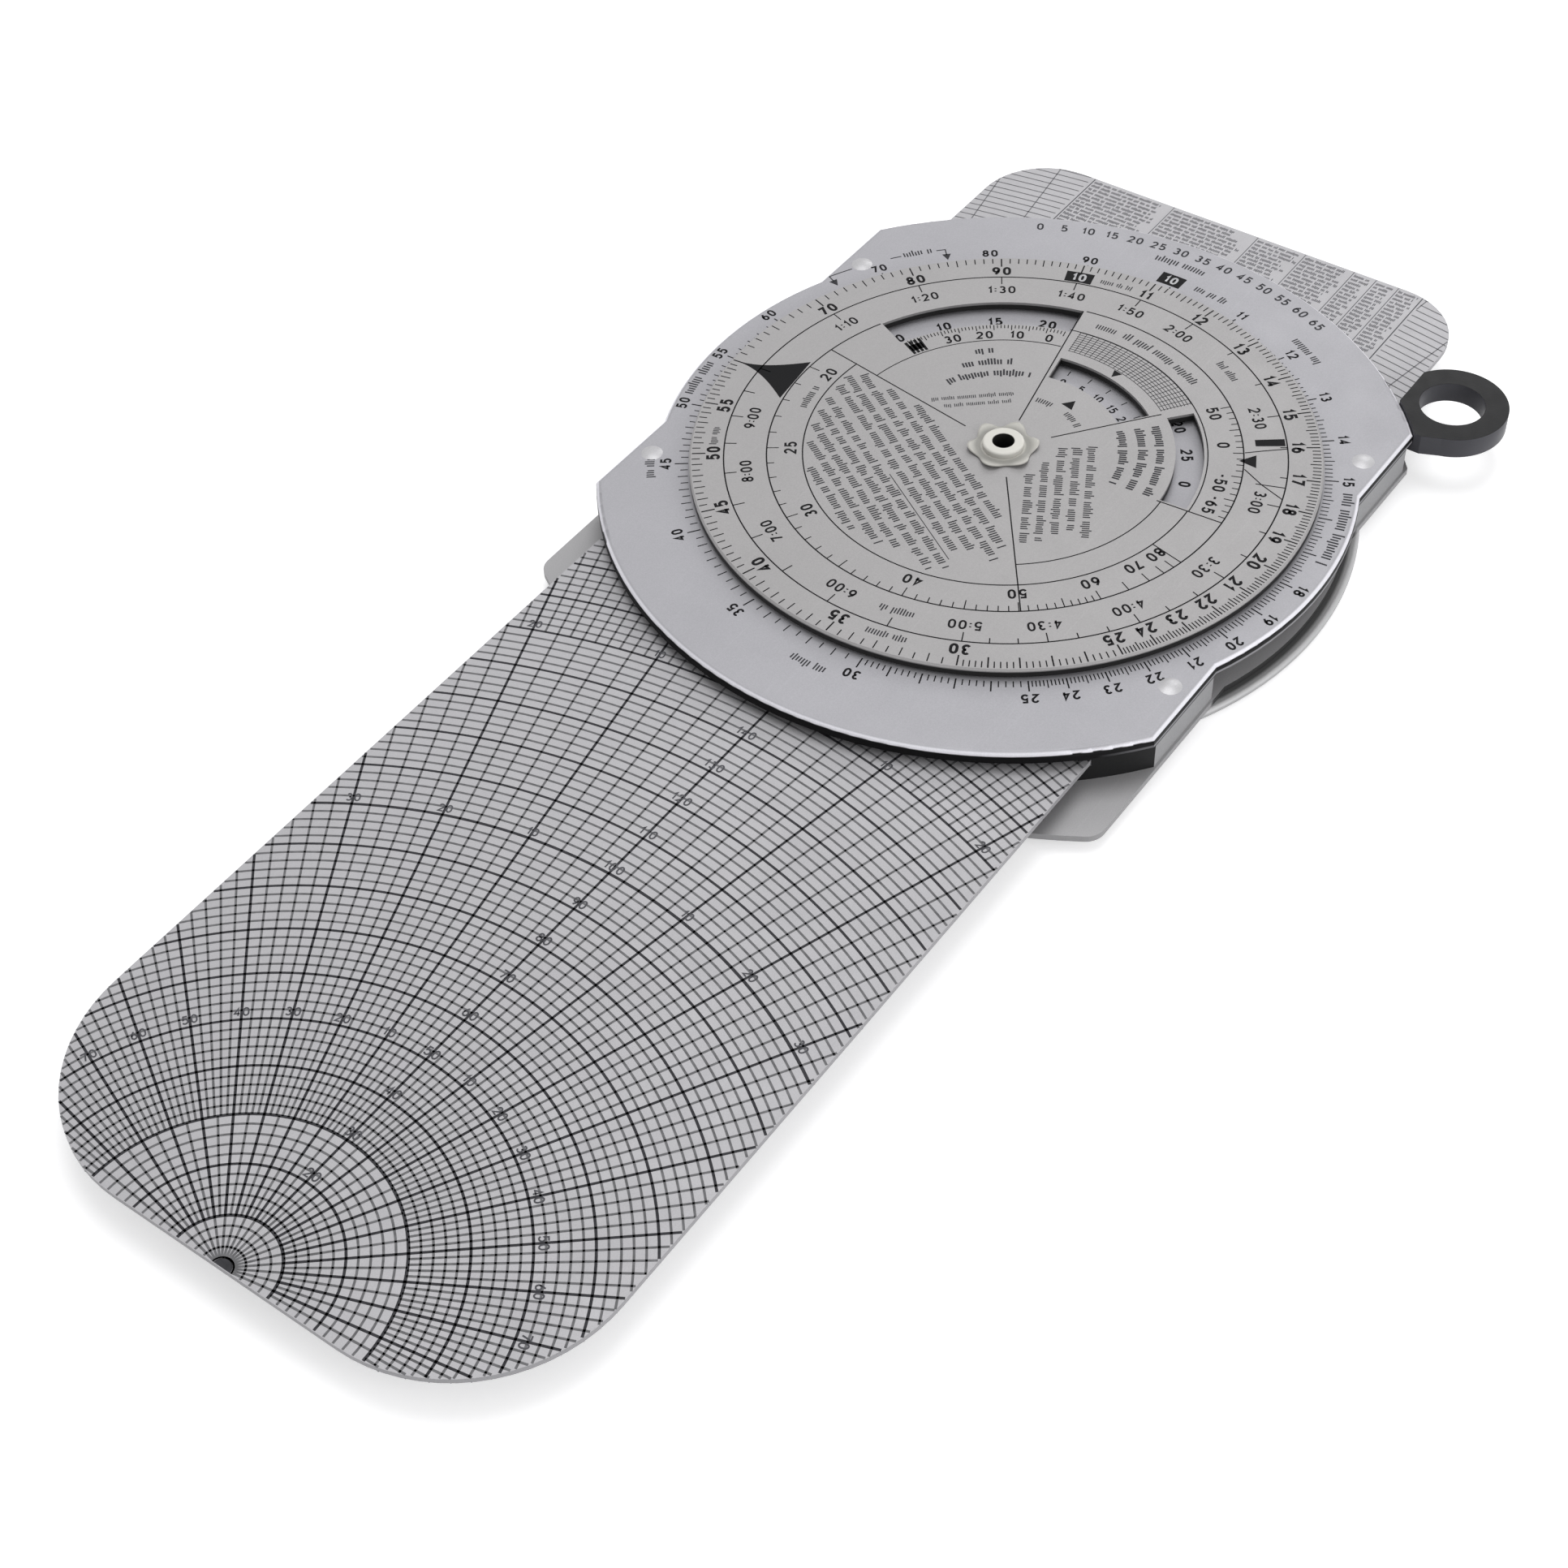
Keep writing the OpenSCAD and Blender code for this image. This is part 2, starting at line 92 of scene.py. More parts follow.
# Strokes of each figure, in a box one unit wide and one unit high
FIGURES = {
    "0": [bow(0.5, 0.64, 0.5, 0.36, 0, 180) + bow(0.5, 0.36, 0.5, 0.36, 180, 360) + [(1.0, 0.64)]],
    "1": [[(0.0, 0.72), (0.9, 1.0), (0.9, 0.0)]],
    "2": [bow(0.5, 0.71, 0.5, 0.29, 165, -32) + [(0.0, 0.0), (1.0, 0.0)]],
    "3": [bow(0.48, 0.755, 0.42, 0.245, 150, -90), bow(0.48, 0.265, 0.5, 0.265, 90, -150)],
    "4": [[(0.72, 0.0), (0.72, 1.0), (0.0, 0.28), (1.0, 0.28)]],
    "5": [[(0.94, 1.0), (0.14, 1.0), (0.08, 0.54)] + bow(0.46, 0.32, 0.54, 0.32, 128, -150)],
    "6": [bow(0.5, 0.31, 0.5, 0.31, 0, 360), [(0.02, 0.38), (0.12, 0.64), (0.62, 1.0)]],
    "7": [[(0.0, 1.0), (1.0, 1.0), (0.36, 0.0)]],
    "8": [bow(0.5, 0.76, 0.42, 0.24, 0, 360), bow(0.5, 0.265, 0.5, 0.265, 0, 360)],
    "9": [bow(0.5, 0.69, 0.5, 0.31, 0, 360), [(0.98, 0.62), (0.88, 0.36), (0.38, 0.0)]],
    ":": [[(0.5, 0.2), (0.5, 0.33)], [(0.5, 0.62), (0.5, 0.75)]],
    "-": [[(0.0, 0.5), (1.0, 0.5)]],
}
# Widths and the gap between figures, as shares of their height
FIGURE_WIDE = 0.62
NARROW_WIDE = {"1": 0.36, ":": 0.18, "-": 0.42}
FIGURE_GAP = 0.2

# Plain upright strokes that fill rows: low and high end, as shares of a row's height
STROKES = [(0.0, 1.0), (0.0, 1.0), (0.0, 1.0), (0.0, 0.85), (0.1, 1.0), (0.0, 1.3), (-0.25, 1.0)]
STROKE_PITCH = 0.42
RUN_COUNT = (3, 10)
RUN_GAP = 0.55
# How much of a row may be left empty at its end, and the fewest places that make a row
RAGGED = 0.15
LEAST_PLACES = 8
# How far to each side a row's places are tried, and how many in a millimetre
ROW_REACH = 40
PLACES_PER_MM = 4


# Ink

INK_RISE = 0.02
INK_SINK = 0.01
MITRE_LIMIT = 2.0
ARC_STEP = 2.0
TINY = 1e-6
# Stroke widths, as shares of the height of the figures or of the row
FIGURE_STROKE = 0.17
ROW_STROKE = 0.2


def dial(r, angle):
    a = math.radians(angle)
    return (r * math.sin(a), r * math.cos(a))


def turned_to(x, y, up):
    """A map from marks about an origin to the place (x, y), their tops toward the dial angle up."""
    a = math.radians(up)
    c, s = math.cos(a), math.sin(a)
    return lambda u, v: (x + u * c + v * s, y - u * s + v * c)


def mesh_piece(name, points, faces, material):
    """A new object in the scene, from points in metres."""
    mesh = bpy.data.meshes.new(name)
    mesh.from_pydata(points, [], faces)
    mesh.materials.append(material)
    piece = bpy.data.objects.new(name, mesh)
    bpy.context.scene.collection.objects.link(piece)
    return piece


class Print:
    """Ink on one face, gathered as closed thin solids and made into one mesh."""

    def __init__(self, z, facing=1, turn=0.0):
        self.z = z
        self.facing = facing
        self.turn = math.radians(turn)
        self.points = []
        self.faces = []

    def _place(self, x, y, rise):
        c, s = math.cos(self.turn), math.sin(self.turn)
        px, py = c * x - s * y, s * x + c * y
        height = INK_RISE if rise else -INK_SINK
        return (self.facing * px * MM, py * MM, (self.z + self.facing * height) * MM)

    def prism(self, outline):
        """A filled shape from its outline, which runs counter-clockwise."""
        n, base = len(outline), len(self.points)
        self.points += [self._place(x, y, False) for x, y in outline]
        self.points += [self._place(x, y, True) for x, y in outline]
        self.faces.append(tuple(range(base + n, base + 2 * n)))
        self.faces.append(tuple(range(base + n - 1, base - 1, -1)))
        for i in range(n):
            j = (i + 1) % n
            self.faces.append((base + i, base + j, base + n + j, base + n + i))

    def band(self, line, width):
        """A stroke of an even width along points, closed where they end at their start."""
        closed = math.dist(line[0], line[-1]) < TINY
        if closed:
            line = line[:-1]
        n, base = len(line), len(self.points)
        for i, (x, y) in enumerate(line):
            before = line[i - 1] if i or closed else None
            after = line[(i + 1) % n] if i < n - 1 or closed else None
            sides = []
            for a, b in ((before, (x, y)), ((x, y), after)):
                if a and b:
                    length = math.dist(a, b)
                    sides.append(((a[1] - b[1]) / length, (b[0] - a[0]) / length))
            ox, oy = sum(s[0] for s in sides), sum(s[1] for s in sides)
            length = math.hypot(ox, oy)
            ox, oy = ox / length, oy / length
            mitre = 1 / max(TINY, ox * sides[0][0] + oy * sides[0][1])
            reach = min(MITRE_LIMIT, mitre) * width / 2
            for rise in (False, True):
                self.points.append(self._place(x + ox * reach, y + oy * reach, rise))
                self.points.append(self._place(x - ox * reach, y - oy * reach, rise))
        for i in range(n if closed else n - 1):
            p, q = base + 4 * i, base + 4 * ((i + 1) % n)
            self.faces.append((p + 2, p + 3, q + 3, q + 2))
            self.faces.append((p + 1, p, q, q + 1))
            self.faces.append((p, p + 2, q + 2, q))
            self.faces.append((p + 3, p + 1, q + 1, q + 3))
        if not closed:
            last = base + 4 * (n - 1)
            self.faces.append((base, base + 1, base + 3, base + 2))
            self.faces.append((last + 1, last, last + 2, last + 3))

    def tick(self, r_from, r_to, angle, width):
        self.band([dial(r_from, angle), dial(r_to, angle)], width)

    def arc(self, r, a_from, a_to, width):
        steps = max(2, int(abs(a_to - a_from) / ARC_STEP))
        self.band([dial(r, a) for a in spaced(a_from, a_to, steps)], width)

    def circle(self, r, width):
        self.arc(r, 0, 360, width)

    def sector(self, r_in, r_out, a_from, a_to):
        """A filled piece of a ring."""
        steps = max(1, int(abs(a_to - a_from) / ARC_STEP))
        angles = spaced(a_from, a_to, steps)
        self.prism([dial(r_in, a) for a in angles] + [dial(r_out, a) for a in angles[::-1]])

    def pointer(self, r_tip, r_base, angle, half):
        """A filled triangle that points along a radius. half is half its base, in degrees."""
        side = half if r_base > r_tip else -half
        self.prism([dial(r_tip, angle), dial(r_base, angle + side), dial(r_base, angle - side)])

    def number(self, figures, x, y, tall, up=0.0, stroke=FIGURE_STROKE):
        """Figures centred on a point. up is the dial angle that their tops point to."""
        place = turned_to(x, y, up)
        wides = [NARROW_WIDE.get(figure, FIGURE_WIDE) for figure in figures]
        start = -(sum(wides) + FIGURE_GAP * (len(wides) - 1)) / 2
        for figure, wide in zip(figures, wides):
            for line in FIGURES[figure]:
                self.band([
                    place(
                        tall * (start + stroke / 2 + u * (wide - stroke)),
                        tall * (stroke / 2 + v * (1 - stroke) - 0.5),
                    )
                    for u, v in line
                ], tall * stroke)
            start += wide + FIGURE_GAP

    def dial_number(self, figures, angle, r, tall, stroke=FIGURE_STROKE):
        self.number(figures, *dial(r, angle), tall, angle, stroke)

    def strokes(self, place, length, tall, stroke=ROW_STROKE):
        """Strokes in runs. place(u) gives a point along them and the dial angle of their tops."""
        u = 0.0
        while u < length:
            for _ in range(random.randint(*RUN_COUNT)):
                low, high = random.choice(STROKES)
                put = turned_to(*place(u))
                if u < length:
                    ends = [put(0, (end - 0.5) * tall) for end in (low, high)]
                    self.band(ends, tall * stroke)
                u += STROKE_PITCH * tall
            u += RUN_GAP * tall

    def curved_strokes(self, r, a_from, a_to, tall, stroke=ROW_STROKE):
        per_mm = math.degrees(1 / r)
        self.strokes(
            lambda u: (*dial(r, a_from + u * per_mm), a_from + u * per_mm),
            (a_to - a_from) / per_mm, tall, stroke,
        )

    def rows_of_strokes(self, inside, up, heights, tall):
        """Straight rows in a region, at heights above the centre toward the dial angle up."""
        point = turned_to(0, 0, up)
        last = ROW_REACH * PLACES_PER_MM
        places = [i / PLACES_PER_MM for i in range(-last, last)]
        for v in heights:
            fits = [u for u in places if inside(*point(u, v))]
            if len(fits) > LEAST_PLACES:
                start, end = fits[0], fits[-1]
                end -= random.uniform(0.0, RAGGED) * (end - start)
                self.strokes(lambda u: (*point(start + u, v), up), end - start, tall)

    def make(self, name, body, material):
        piece = mesh_piece(name, self.points, self.faces, material)
        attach(piece, body)


# Shader nodes

def principled(name):
    material = bpy.data.materials.new(name)
    material.use_nodes = True
    tree = material.node_tree
    return material, tree, tree.nodes["Principled BSDF"]


def feed(tree, made, inputs):
    """Links a node's inputs to sockets, or sets them to values."""
    for key, value in inputs.items():
        if isinstance(value, bpy.types.NodeSocket):
            tree.links.new(value, made.inputs[key])
        else:
            made.inputs[key].default_value = value


def node(tree, kind, inputs=None, **settings):
    """The outputs of a new shader node."""
    made = tree.nodes.new("ShaderNode" + kind)
    for key, value in settings.items():
        setattr(made, key, value)
    feed(tree, made, inputs or {})
    return made.outputs


def metres(*lengths):
    return [length * MM for length in lengths]


def place_on(tree):
    """Where a surface is in the object's own frame."""
    return node(tree, "TexCoord")["Object"]


def normal_of(tree):
    return node(tree, "NewGeometry")["Normal"]


def size_of(tree, vector, axis):
    """A vector's component without its sign."""
    part = node(tree, "SeparateXYZ", {"Vector": vector})[axis]
    return node(tree, "Math", {0: part}, operation="ABSOLUTE")["Value"]


def facing_up(tree):
    """How far a surface faces up or down: 1 on the faces, 0 on the side walls."""
    return size_of(tree, normal_of(tree), "Z")


def noise(tree, scale, detail, stretch=(1, 1, 1), turn=0.0):
    """Noise over the object's own metres, as a value about 0.5."""
    settings = {"Vector": place_on(tree), "Rotation": (0, 0, turn), "Scale": stretch}
    mapped = node(tree, "Mapping", settings)["Vector"]
    settings = {"Vector": mapped, "Scale": scale, "Detail": detail}
    return node(tree, "TexNoise", settings)["Fac"]


def ranged(tree, value, source, target):
    """A value taken from one range to another and held at its ends."""
    return node(tree, "MapRange", {
        "Value": value,
        "From Min": source[0], "From Max": source[1],
        "To Min": target[0], "To Max": target[1],
    })["Result"]


def spread(tree, value, low, high):
    """A value about 0.5 taken to the range low to high."""
    return ranged(tree, value, (0.25, 0.75), (low, high))


def tinted(tree, colour, value):
    """A colour made lighter or darker by a factor."""
    return node(tree, "VectorMath", {0: colour, 1: value}, operation="MULTIPLY")["Vector"]


def sum_of(tree, operation, a, b):
    """One arithmetic step between two values."""
    return node(tree, "Math", {0: a, 1: b}, operation=operation)["Value"]


def times(tree, a, b):
    return sum_of(tree, "MULTIPLY", a, b)


def mixed(tree, factor, a, b):
    """A mix of two colours, whose sockets the node tells apart by number."""
    return node(tree, "Mix", {0: factor, 6: a, 7: (*b, 1)}, data_type="RGBA")[2]


def bumped(tree, value, strength, depth):
    settings = {"Height": value, "Strength": strength, "Distance": depth * MM}
    return node(tree, "Bump", settings)["Normal"]


def from_axis(tree):
    """A surface's distance from the pivot's axis."""
    flat = tinted(tree, place_on(tree), (1, 1, 0))
    return node(tree, "VectorMath", {0: flat}, operation="LENGTH")["Value"]


# Tones, which are factors for a finish's colour, most of them painted light and shade

# Heights above the front plate's underside: the end of the painted grey shade on its sides, the
# start and the end of the painted shadow line, and the start of the painted highlight on the rim
GREY_TOP, LINE_LOW, LINE_TOP, RIM_LOW = 0.4, 0.55, 1.32, 1.46
# Where the painted highlight on the rim ends, in from the plate's outline
RIM_IN = (0.4, 0.65)
# Tones of the painted shadow line, of the painted shade low on the plate's two sides, and of the
# painted highlight on its rim
SHADE_LINE_TONE, SIDE_SHADE_TONE, RIM_HIGHLIGHT_TONE = 0.03, 0.8, 2.0

# The painted shadow below a guide's top, under the front plate's edge, and the tone of that shadow
# and of the painted shade on the guide's ends
SHADOW_BAND_DOWN = (1.1, 0.8)
GUIDE_SHADE_TONE = 0.06

# The lit rim of the rear plate's bulges, a painted highlight with painted shade inside it, and
# where the bulges end
REAR_LIT_RIM_R = (55.8, 56.4)
BULGE_END_Y = (24.0, 25.0)

# The azimuth ring's rim, and the height above which painted shade darkens it inside the rim
RING_RIM_R = (59.6, 60.1)
RING_SHADE_Z = (1.2, 1.4)

# Radii at the pivot, where its tones change: the painted shade in its bore, the edge of its collar
# and the petals
BORE_R = (1.86, 2.0)
COLLAR_R = (3.5, 4.0)
PETAL_R = (4.6, 5.6)

# Painted shadow: the disc's edge is dark up to this height, with a soft border
DISC_SHADE_H = 1.0
SHADE_SOFT = 0.08
DISC_SHADE_TONE = 0.06


def by_height(tree, heights, tones):
    """A tone that changes between two heights."""
    return ranged(tree, size_of(tree, place_on(tree), "Z"), metres(*heights), tones)


def by_radius(tree, radii, tones):
    """A tone that changes between two distances from the pivot's axis."""
    return ranged(tree, from_axis(tree), metres(*radii), tones)


def inside_outline(tree):
    """How far a point of the front plate is in from its outline of flats, end arcs and bulges."""
    bulge_r, end_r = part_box("front_plate")[1][:2]
    r = from_axis(tree)
    flats = sum_of(tree, "SUBTRACT", FLAT_X * MM, size_of(tree, place_on(tree), "X"))
    ends = sum_of(tree, "SUBTRACT", end_r, r)
    bulges = sum_of(tree, "SUBTRACT", bulge_r, r)
    return sum_of(tree, "MAXIMUM", sum_of(tree, "MINIMUM", flats, ends), bulges)


def plate_tone(tree):
    """Painted light: a highlight on the rim round the top, a shadow line below it, and shade under
    the line, grey on the two sides and dark on the ends.
    """
    low = under("front_plate")
    sideways = size_of(tree, normal_of(tree), "X")
    side = ranged(tree, sideways, (0.7, 0.85), (SHADE_LINE_TONE, SIDE_SHADE_TONE))
    line = by_height(tree, (low + GREY_TOP, low + LINE_LOW), (side, SHADE_LINE_TONE))
    rim = ranged(tree, inside_outline(tree), metres(*RIM_IN), (RIM_HIGHLIGHT_TONE, 1.0))
    return by_height(tree, (low + LINE_TOP, low + RIM_LOW), (line, rim))


def disc_tone(tree):
    """Painted shadow low on the disc's edges, over the gap to the plate below."""
    height = under("calculator_disc") + DISC_SHADE_H
    return by_height(tree, (height - SHADE_SOFT, height + SHADE_SOFT), (DISC_SHADE_TONE, 1.0))


def guide_tone(tree):
    """Painted shade on both ends, and a painted shadow along the top of the sides."""
    end = size_of(tree, normal_of(tree), "Y")
    shadow_heights = [top_of("guide_lower_left") - down for down in SHADOW_BAND_DOWN]
    return times(
        tree,
        ranged(tree, end, (0.2, 0.5), (1.0, GUIDE_SHADE_TONE)),
        by_height(tree, shadow_heights, (1.0, GUIDE_SHADE_TONE)),
    )


def rear_tone(tree):
    """Painted light on the bulges: a lit rim, with painted shade inside it under the front plate
    and down its sides.
    """
    rim = by_radius(tree, REAR_LIT_RIM_R, (0.1, 1.3))
    wall_shade = ranged(tree, facing_up(tree), (0.1, 0.5), (0.1, 1.0))
    bulge = ranged(tree, size_of(tree, place_on(tree), "Y"), metres(*BULGE_END_Y), (1.0, 0.0))
    return ranged(tree, bulge, (0.0, 1.0), (1.0, times(tree, rim, wall_shade)))


def ring_tone(tree):
    """Painted shade on the ring's upper side, inside its rim, under the rear plate."""
    rim = by_radius(tree, RING_RIM_R, (0.25, 1.0))
    return by_height(tree, RING_SHADE_Z, (1.0, rim))


def rivet_tone(tree):
    """Painted shade: a dark line around a domed head, where it meets the plate."""
    return ranged(tree, facing_up(tree), (0.935, 0.955), (0.15, 1.0))


def pivot_tone(tree):
    """Painted shade, dark in the hollow rivet's bore and dull in the petals' hollows; lightest on
    its collar and lighter again at the petals' tips.
    """
    bore = by_radius(tree, BORE_R, (0.02, 1.0))
    collar = by_radius(tree, COLLAR_R, (1.4, 0.62))
    petal = by_radius(tree, PETAL_R, (1.0, 1.7))
    return times(tree, bore, times(tree, collar, petal))


def scuffed_sides(tree):
    """Painted light: lighter on the sides than on the faces."""
    return ranged(tree, facing_up(tree), (0.2, 0.7), (10.0, 1.0))


# Finishes

# The colour of the painted highlight on edges
EDGE_HIGHLIGHT_COLOUR = (0.8, 0.8, 0.81)


def satin_metal(name, colour, rough=(0.46, 0.6), metallic=0.25, grain=5200.0, edge_highlight=0.0, wall_shade=0.85,
                specular=0.25, tone=None):
    """Blasted and anodised sheet, with a fine even grain, faint clouds and hair scratches.

    edge_highlight mixes a painted highlight into an edge from where it turns down, wall_shade is
    the painted shade of the sides against the faces, and tone(tree) gives one more factor for the
    colour.
    """
    material, tree, shader = principled(name)
    fine = noise(tree, scale=grain, detail=3.0)
    cloud = noise(tree, scale=38.0, detail=4.0)
    hairs = noise(tree, scale=1.0, detail=1.0, stretch=(2600, 36, 36), turn=0.7)
    patches = noise(tree, scale=160.0, detail=5.0)
    upward = facing_up(tree)
    shade = times(tree, spread(tree, fine, 0.93, 1.07), spread(tree, cloud, 0.965, 1.035))
    shade = times(tree, shade, ranged(tree, hairs, (0.66, 0.72), (1.0, 1.03)))
    # Painted shade: the sides darker than the faces
    shade = times(tree, shade, ranged(tree, upward, (0.1, 0.5), (wall_shade, 1.0)))
    base = tinted(tree, colour, shade)
    # Painted highlight on an edge, from where it turns down
    if edge_highlight:
        base = mixed(tree, ranged(tree, upward, (0.995, 0.92), (0.0, edge_highlight)), base, EDGE_HIGHLIGHT_COLOUR)
    if tone:
        base = tinted(tree, base, tone(tree))
    feed(tree, shader, {
        "Base Color": base,
        "Roughness": spread(tree, patches, *rough),
        "Metallic": metallic,
        "Specular IOR Level": specular,
        "Normal": bumped(tree, fine, strength=0.25, depth=0.02),
    })
    return material


def moulded_plastic(name, colour, rough=(0.32, 0.48), clouds=0.1, specular=0.3, tone=None):
    """Plastic with a fine grain. clouds is how far its colour drifts."""
    material, tree, shader = principled(name)
    fine = noise(tree, scale=2600.0, detail=3.0)
    drift = noise(tree, scale=90.0, detail=3.0)
    patches = noise(tree, scale=420.0, detail=4.0)
    shade = spread(tree, drift, 1 - clouds, 1 + clouds)
    if tone:
        shade = times(tree, shade, tone(tree))
    feed(tree, shader, {
        "Base Color": tinted(tree, colour, shade),
        "Roughness": spread(tree, patches, *rough),
        "Specular IOR Level": specular,
        "Normal": bumped(tree, fine, strength=0.35, depth=0.03),
    })
    return material


def felt_fabric(name, colour):
    material, tree, shader = principled(name)
    fibre = noise(tree, scale=3800.0, detail=6.0)
    feed(tree, shader, {
        "Base Color": tinted(tree, colour, spread(tree, fibre, 0.5, 1.5)),
        "Roughness": 0.95,
        "Normal": bumped(tree, fibre, strength=0.9, depth=0.15),
    })
    return material


def clear_sheet(name):
    """Clear plastic, a little scuffed."""
    material, tree, shader = principled(name)
    scuff = noise(tree, scale=900.0, detail=6.0, stretch=(1, 6, 1))
    feed(tree, shader, {
        "Base Color": (0.93, 0.95, 0.95, 1),
        "IOR": 1.49,
        "Transmission Weight": 1.0,
        "Roughness": spread(tree, scuff, 0.02, 0.16),
    })
    return material


def printed_ink(name, colour):
    material, tree, shader = principled(name)
    patch = noise(tree, scale=700.0, detail=4.0)
    feed(tree, shader, {
        "Base Color": tinted(tree, colour, spread(tree, patch, 0.7, 1.3)),
        "Roughness": spread(tree, patch, 0.5, 0.7),
        "Specular IOR Level": 0.08,
    })
    return material


PLATE = satin_metal("plate_satin", (0.412, 0.408, 0.433), specular=0.06, tone=plate_tone)
REAR = satin_metal("rear_satin", (0.40, 0.396, 0.405), tone=rear_tone)
DISC = satin_metal("disc_satin", (0.369, 0.361, 0.364), tone=disc_tone)
CARD = satin_metal("card_satin", (0.447, 0.442, 0.459), grain=6400.0)
GUIDE = satin_metal(
    "guide_milled", (0.42, 0.42, 0.43), grain=2200.0, metallic=0.0, specular=0.08, tone=guide_tone,
)
# The ring takes a painted highlight on its rounded edge and darker painted shade on its sides
RING = satin_metal("ring_satin", (0.48, 0.48, 0.485), edge_highlight=0.3, wall_shade=0.62, tone=ring_tone)
RETAINER = satin_metal("retainer_satin", (0.48, 0.48, 0.485))
RIVET = satin_metal(
    "rivet_bare", (0.49, 0.486, 0.5), rough=(0.35, 0.45), metallic=0.35, tone=rivet_tone,
)
STEEL = satin_metal("spring_steel", (0.36, 0.36, 0.38), rough=(0.25, 0.4), metallic=1.0)
BRASS = satin_metal("eyelet_brass", (0.52, 0.41, 0.19), rough=(0.2, 0.36), metallic=1.0)
CREAM = moulded_plastic("cream_plastic", (0.52, 0.51, 0.475), clouds=0.06, tone=pivot_tone)
BLACK = moulded_plastic(
    "black_plastic", (0.008, 0.008, 0.009), rough=(0.3, 0.42), specular=0.12, tone=scuffed_sides,
)
FELT = felt_fabric("felt", (0.05, 0.06, 0.055))
CLEAR = clear_sheet("clear_sheet")
INK = printed_ink("black_ink", (0.009, 0.009, 0.010))
FINE_INK = printed_ink("grey_ink", (0.045, 0.045, 0.05))
GRID_INK = printed_ink("grid_ink", (0.165, 0.165, 0.172))
TABLE_INK = printed_ink("table_ink", (0.09, 0.09, 0.1))
FAINT_INK = printed_ink("faint_ink", (0.19, 0.19, 0.2))
PALE_INK = printed_ink("pale_ink", (0.5, 0.5, 0.52))

FINISH = {
    "front_plate": PLATE, "rear_plate": REAR, "calculator_disc": DISC, "slide_card": CARD,
    **{name: GUIDE for name in NODES if name.startswith("guide_")},
    "frame_rivets": RIVET, "azimuth_rivets": RIVET,
    "azimuth_ring": RING, "azimuth_retainer": RETAINER,
    "pivot_rivet": CREAM, "pivot_cap_washer": CREAM,
    "disc_spring_washer": STEEL, "pivot_lock_washer": STEEL,
    "lanyard_ring": BLACK, "slide_pads": FELT,
    "azimuth_window": CLEAR, "window_grommet": BRASS,
}
for name, finish in FINISH.items():
    materials = NODES[name].data.materials
    materials.clear()
    materials.append(finish)


# Edges of the solids

WELD_REACH = 0.001
SHARP_ANGLE = 50


def weld(name):
    """Joins points of a mesh that fall together, as at the top of a dome."""
    joined = NODES[name].modifiers.new("weld", "WELD")
    joined.merge_threshold = WELD_REACH * MM


def soften(name, radius, steps):
    """Rounds a piece's sharp edges a little, inside its outline."""
    weld(name)
    round_off = NODES[name].modifiers.new("round", "BEVEL")
    round_off.width = radius * MM
    round_off.segments = steps
    round_off.limit_method = "ANGLE"
    round_off.angle_limit = math.radians(SHARP_ANGLE)


weld("frame_rivets")
weld("azimuth_rivets")
soften("lanyard_ring", radius=0.5, steps=3)
soften("pivot_rivet", radius=0.15, steps=2)


# Pivot washer

PETALS = 6
PETAL_AT = 233.0
PETAL_LIFT = 0.6
PETAL_NOTCH = 1.1
PETAL_DIP = 0.1
WASHER_T = 0.2
WASHER_SEAT_R = 3.1
WASHER_RINGS = 6
WASHER_STEPS = 96


def petal_washer():
    """The flared washer at the pivot, its rim waved up in petals."""
    rim_r, seat_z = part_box("pivot_cap_washer")[1].x / MM, top_of("pivot_cap_washer")
    points, faces = [], []
    for i in range(WASHER_STEPS):
        angle = 360 * i / WASHER_STEPS
        petal = 0.5 + 0.5 * math.cos(math.radians(PETALS * (angle - PETAL_AT)))
        upper = []
        for part in range(WASHER_RINGS + 1):
            t = part / WASHER_RINGS
            r = WASHER_SEAT_R + (rim_r - PETAL_NOTCH * (1 - petal) - WASHER_SEAT_R) * t
            upper.append((r, seat_z - PETAL_DIP * t + PETAL_LIFT * petal * t * t))
        for r, z in upper + [(r, z - WASHER_T) for r, z in upper[::-1]]:
            points.append(metres(*dial(r, angle), z))
    around = 2 * (WASHER_RINGS + 1)
    for i in range(WASHER_STEPS):
        for j in range(around):
            a, b = i * around, (i + 1) % WASHER_STEPS * around
            k = (j + 1) % around
            faces.append((a + j, b + j, b + k, a + k))
    piece = mesh_piece("pivot_petal_washer", points, faces, CREAM)
    for face in piece.data.polygons:
        face.use_smooth = True
    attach(piece, "frame")
    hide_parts("pivot_cap_washer")


petal_washer()


# Scales

def log_angle(value):
    """Place of a value on a one-turn logarithmic scale that starts at 10."""
    return 360 * math.log10(value / 10)


# (from, to, smallest step, middle step, longest step) in tenths, so that the steps are whole
LOG_STEPS = [
    (100, 250, 1, 5, 10),
    (250, 300, 2, 10, 10),
    (300, 600, 5, 10, 50),
    (600, 1000, 10, 50, 100),
]
LOG_NUMBERS = [*range(11, 26), 30, 35, 40, 45, 50, 55, 60, 70, 80, 90]
LONG_TICK_WIDER = 1.3
# Widths of ticks and lines
HAIR_TICK, FINE_TICK, TICK, RING_LINE = 0.17, 0.18, 0.2, 0.24
# A style of numbers is their radius, height and, where it isn't the usual one, stroke
FINE_FIGURE, BOLD_FIGURE = 0.18, 0.2


def even_steps(count, first, pitch):
    """Steps of an even scale, each with its place."""
    return [(step, first + pitch * step) for step in range(count)]


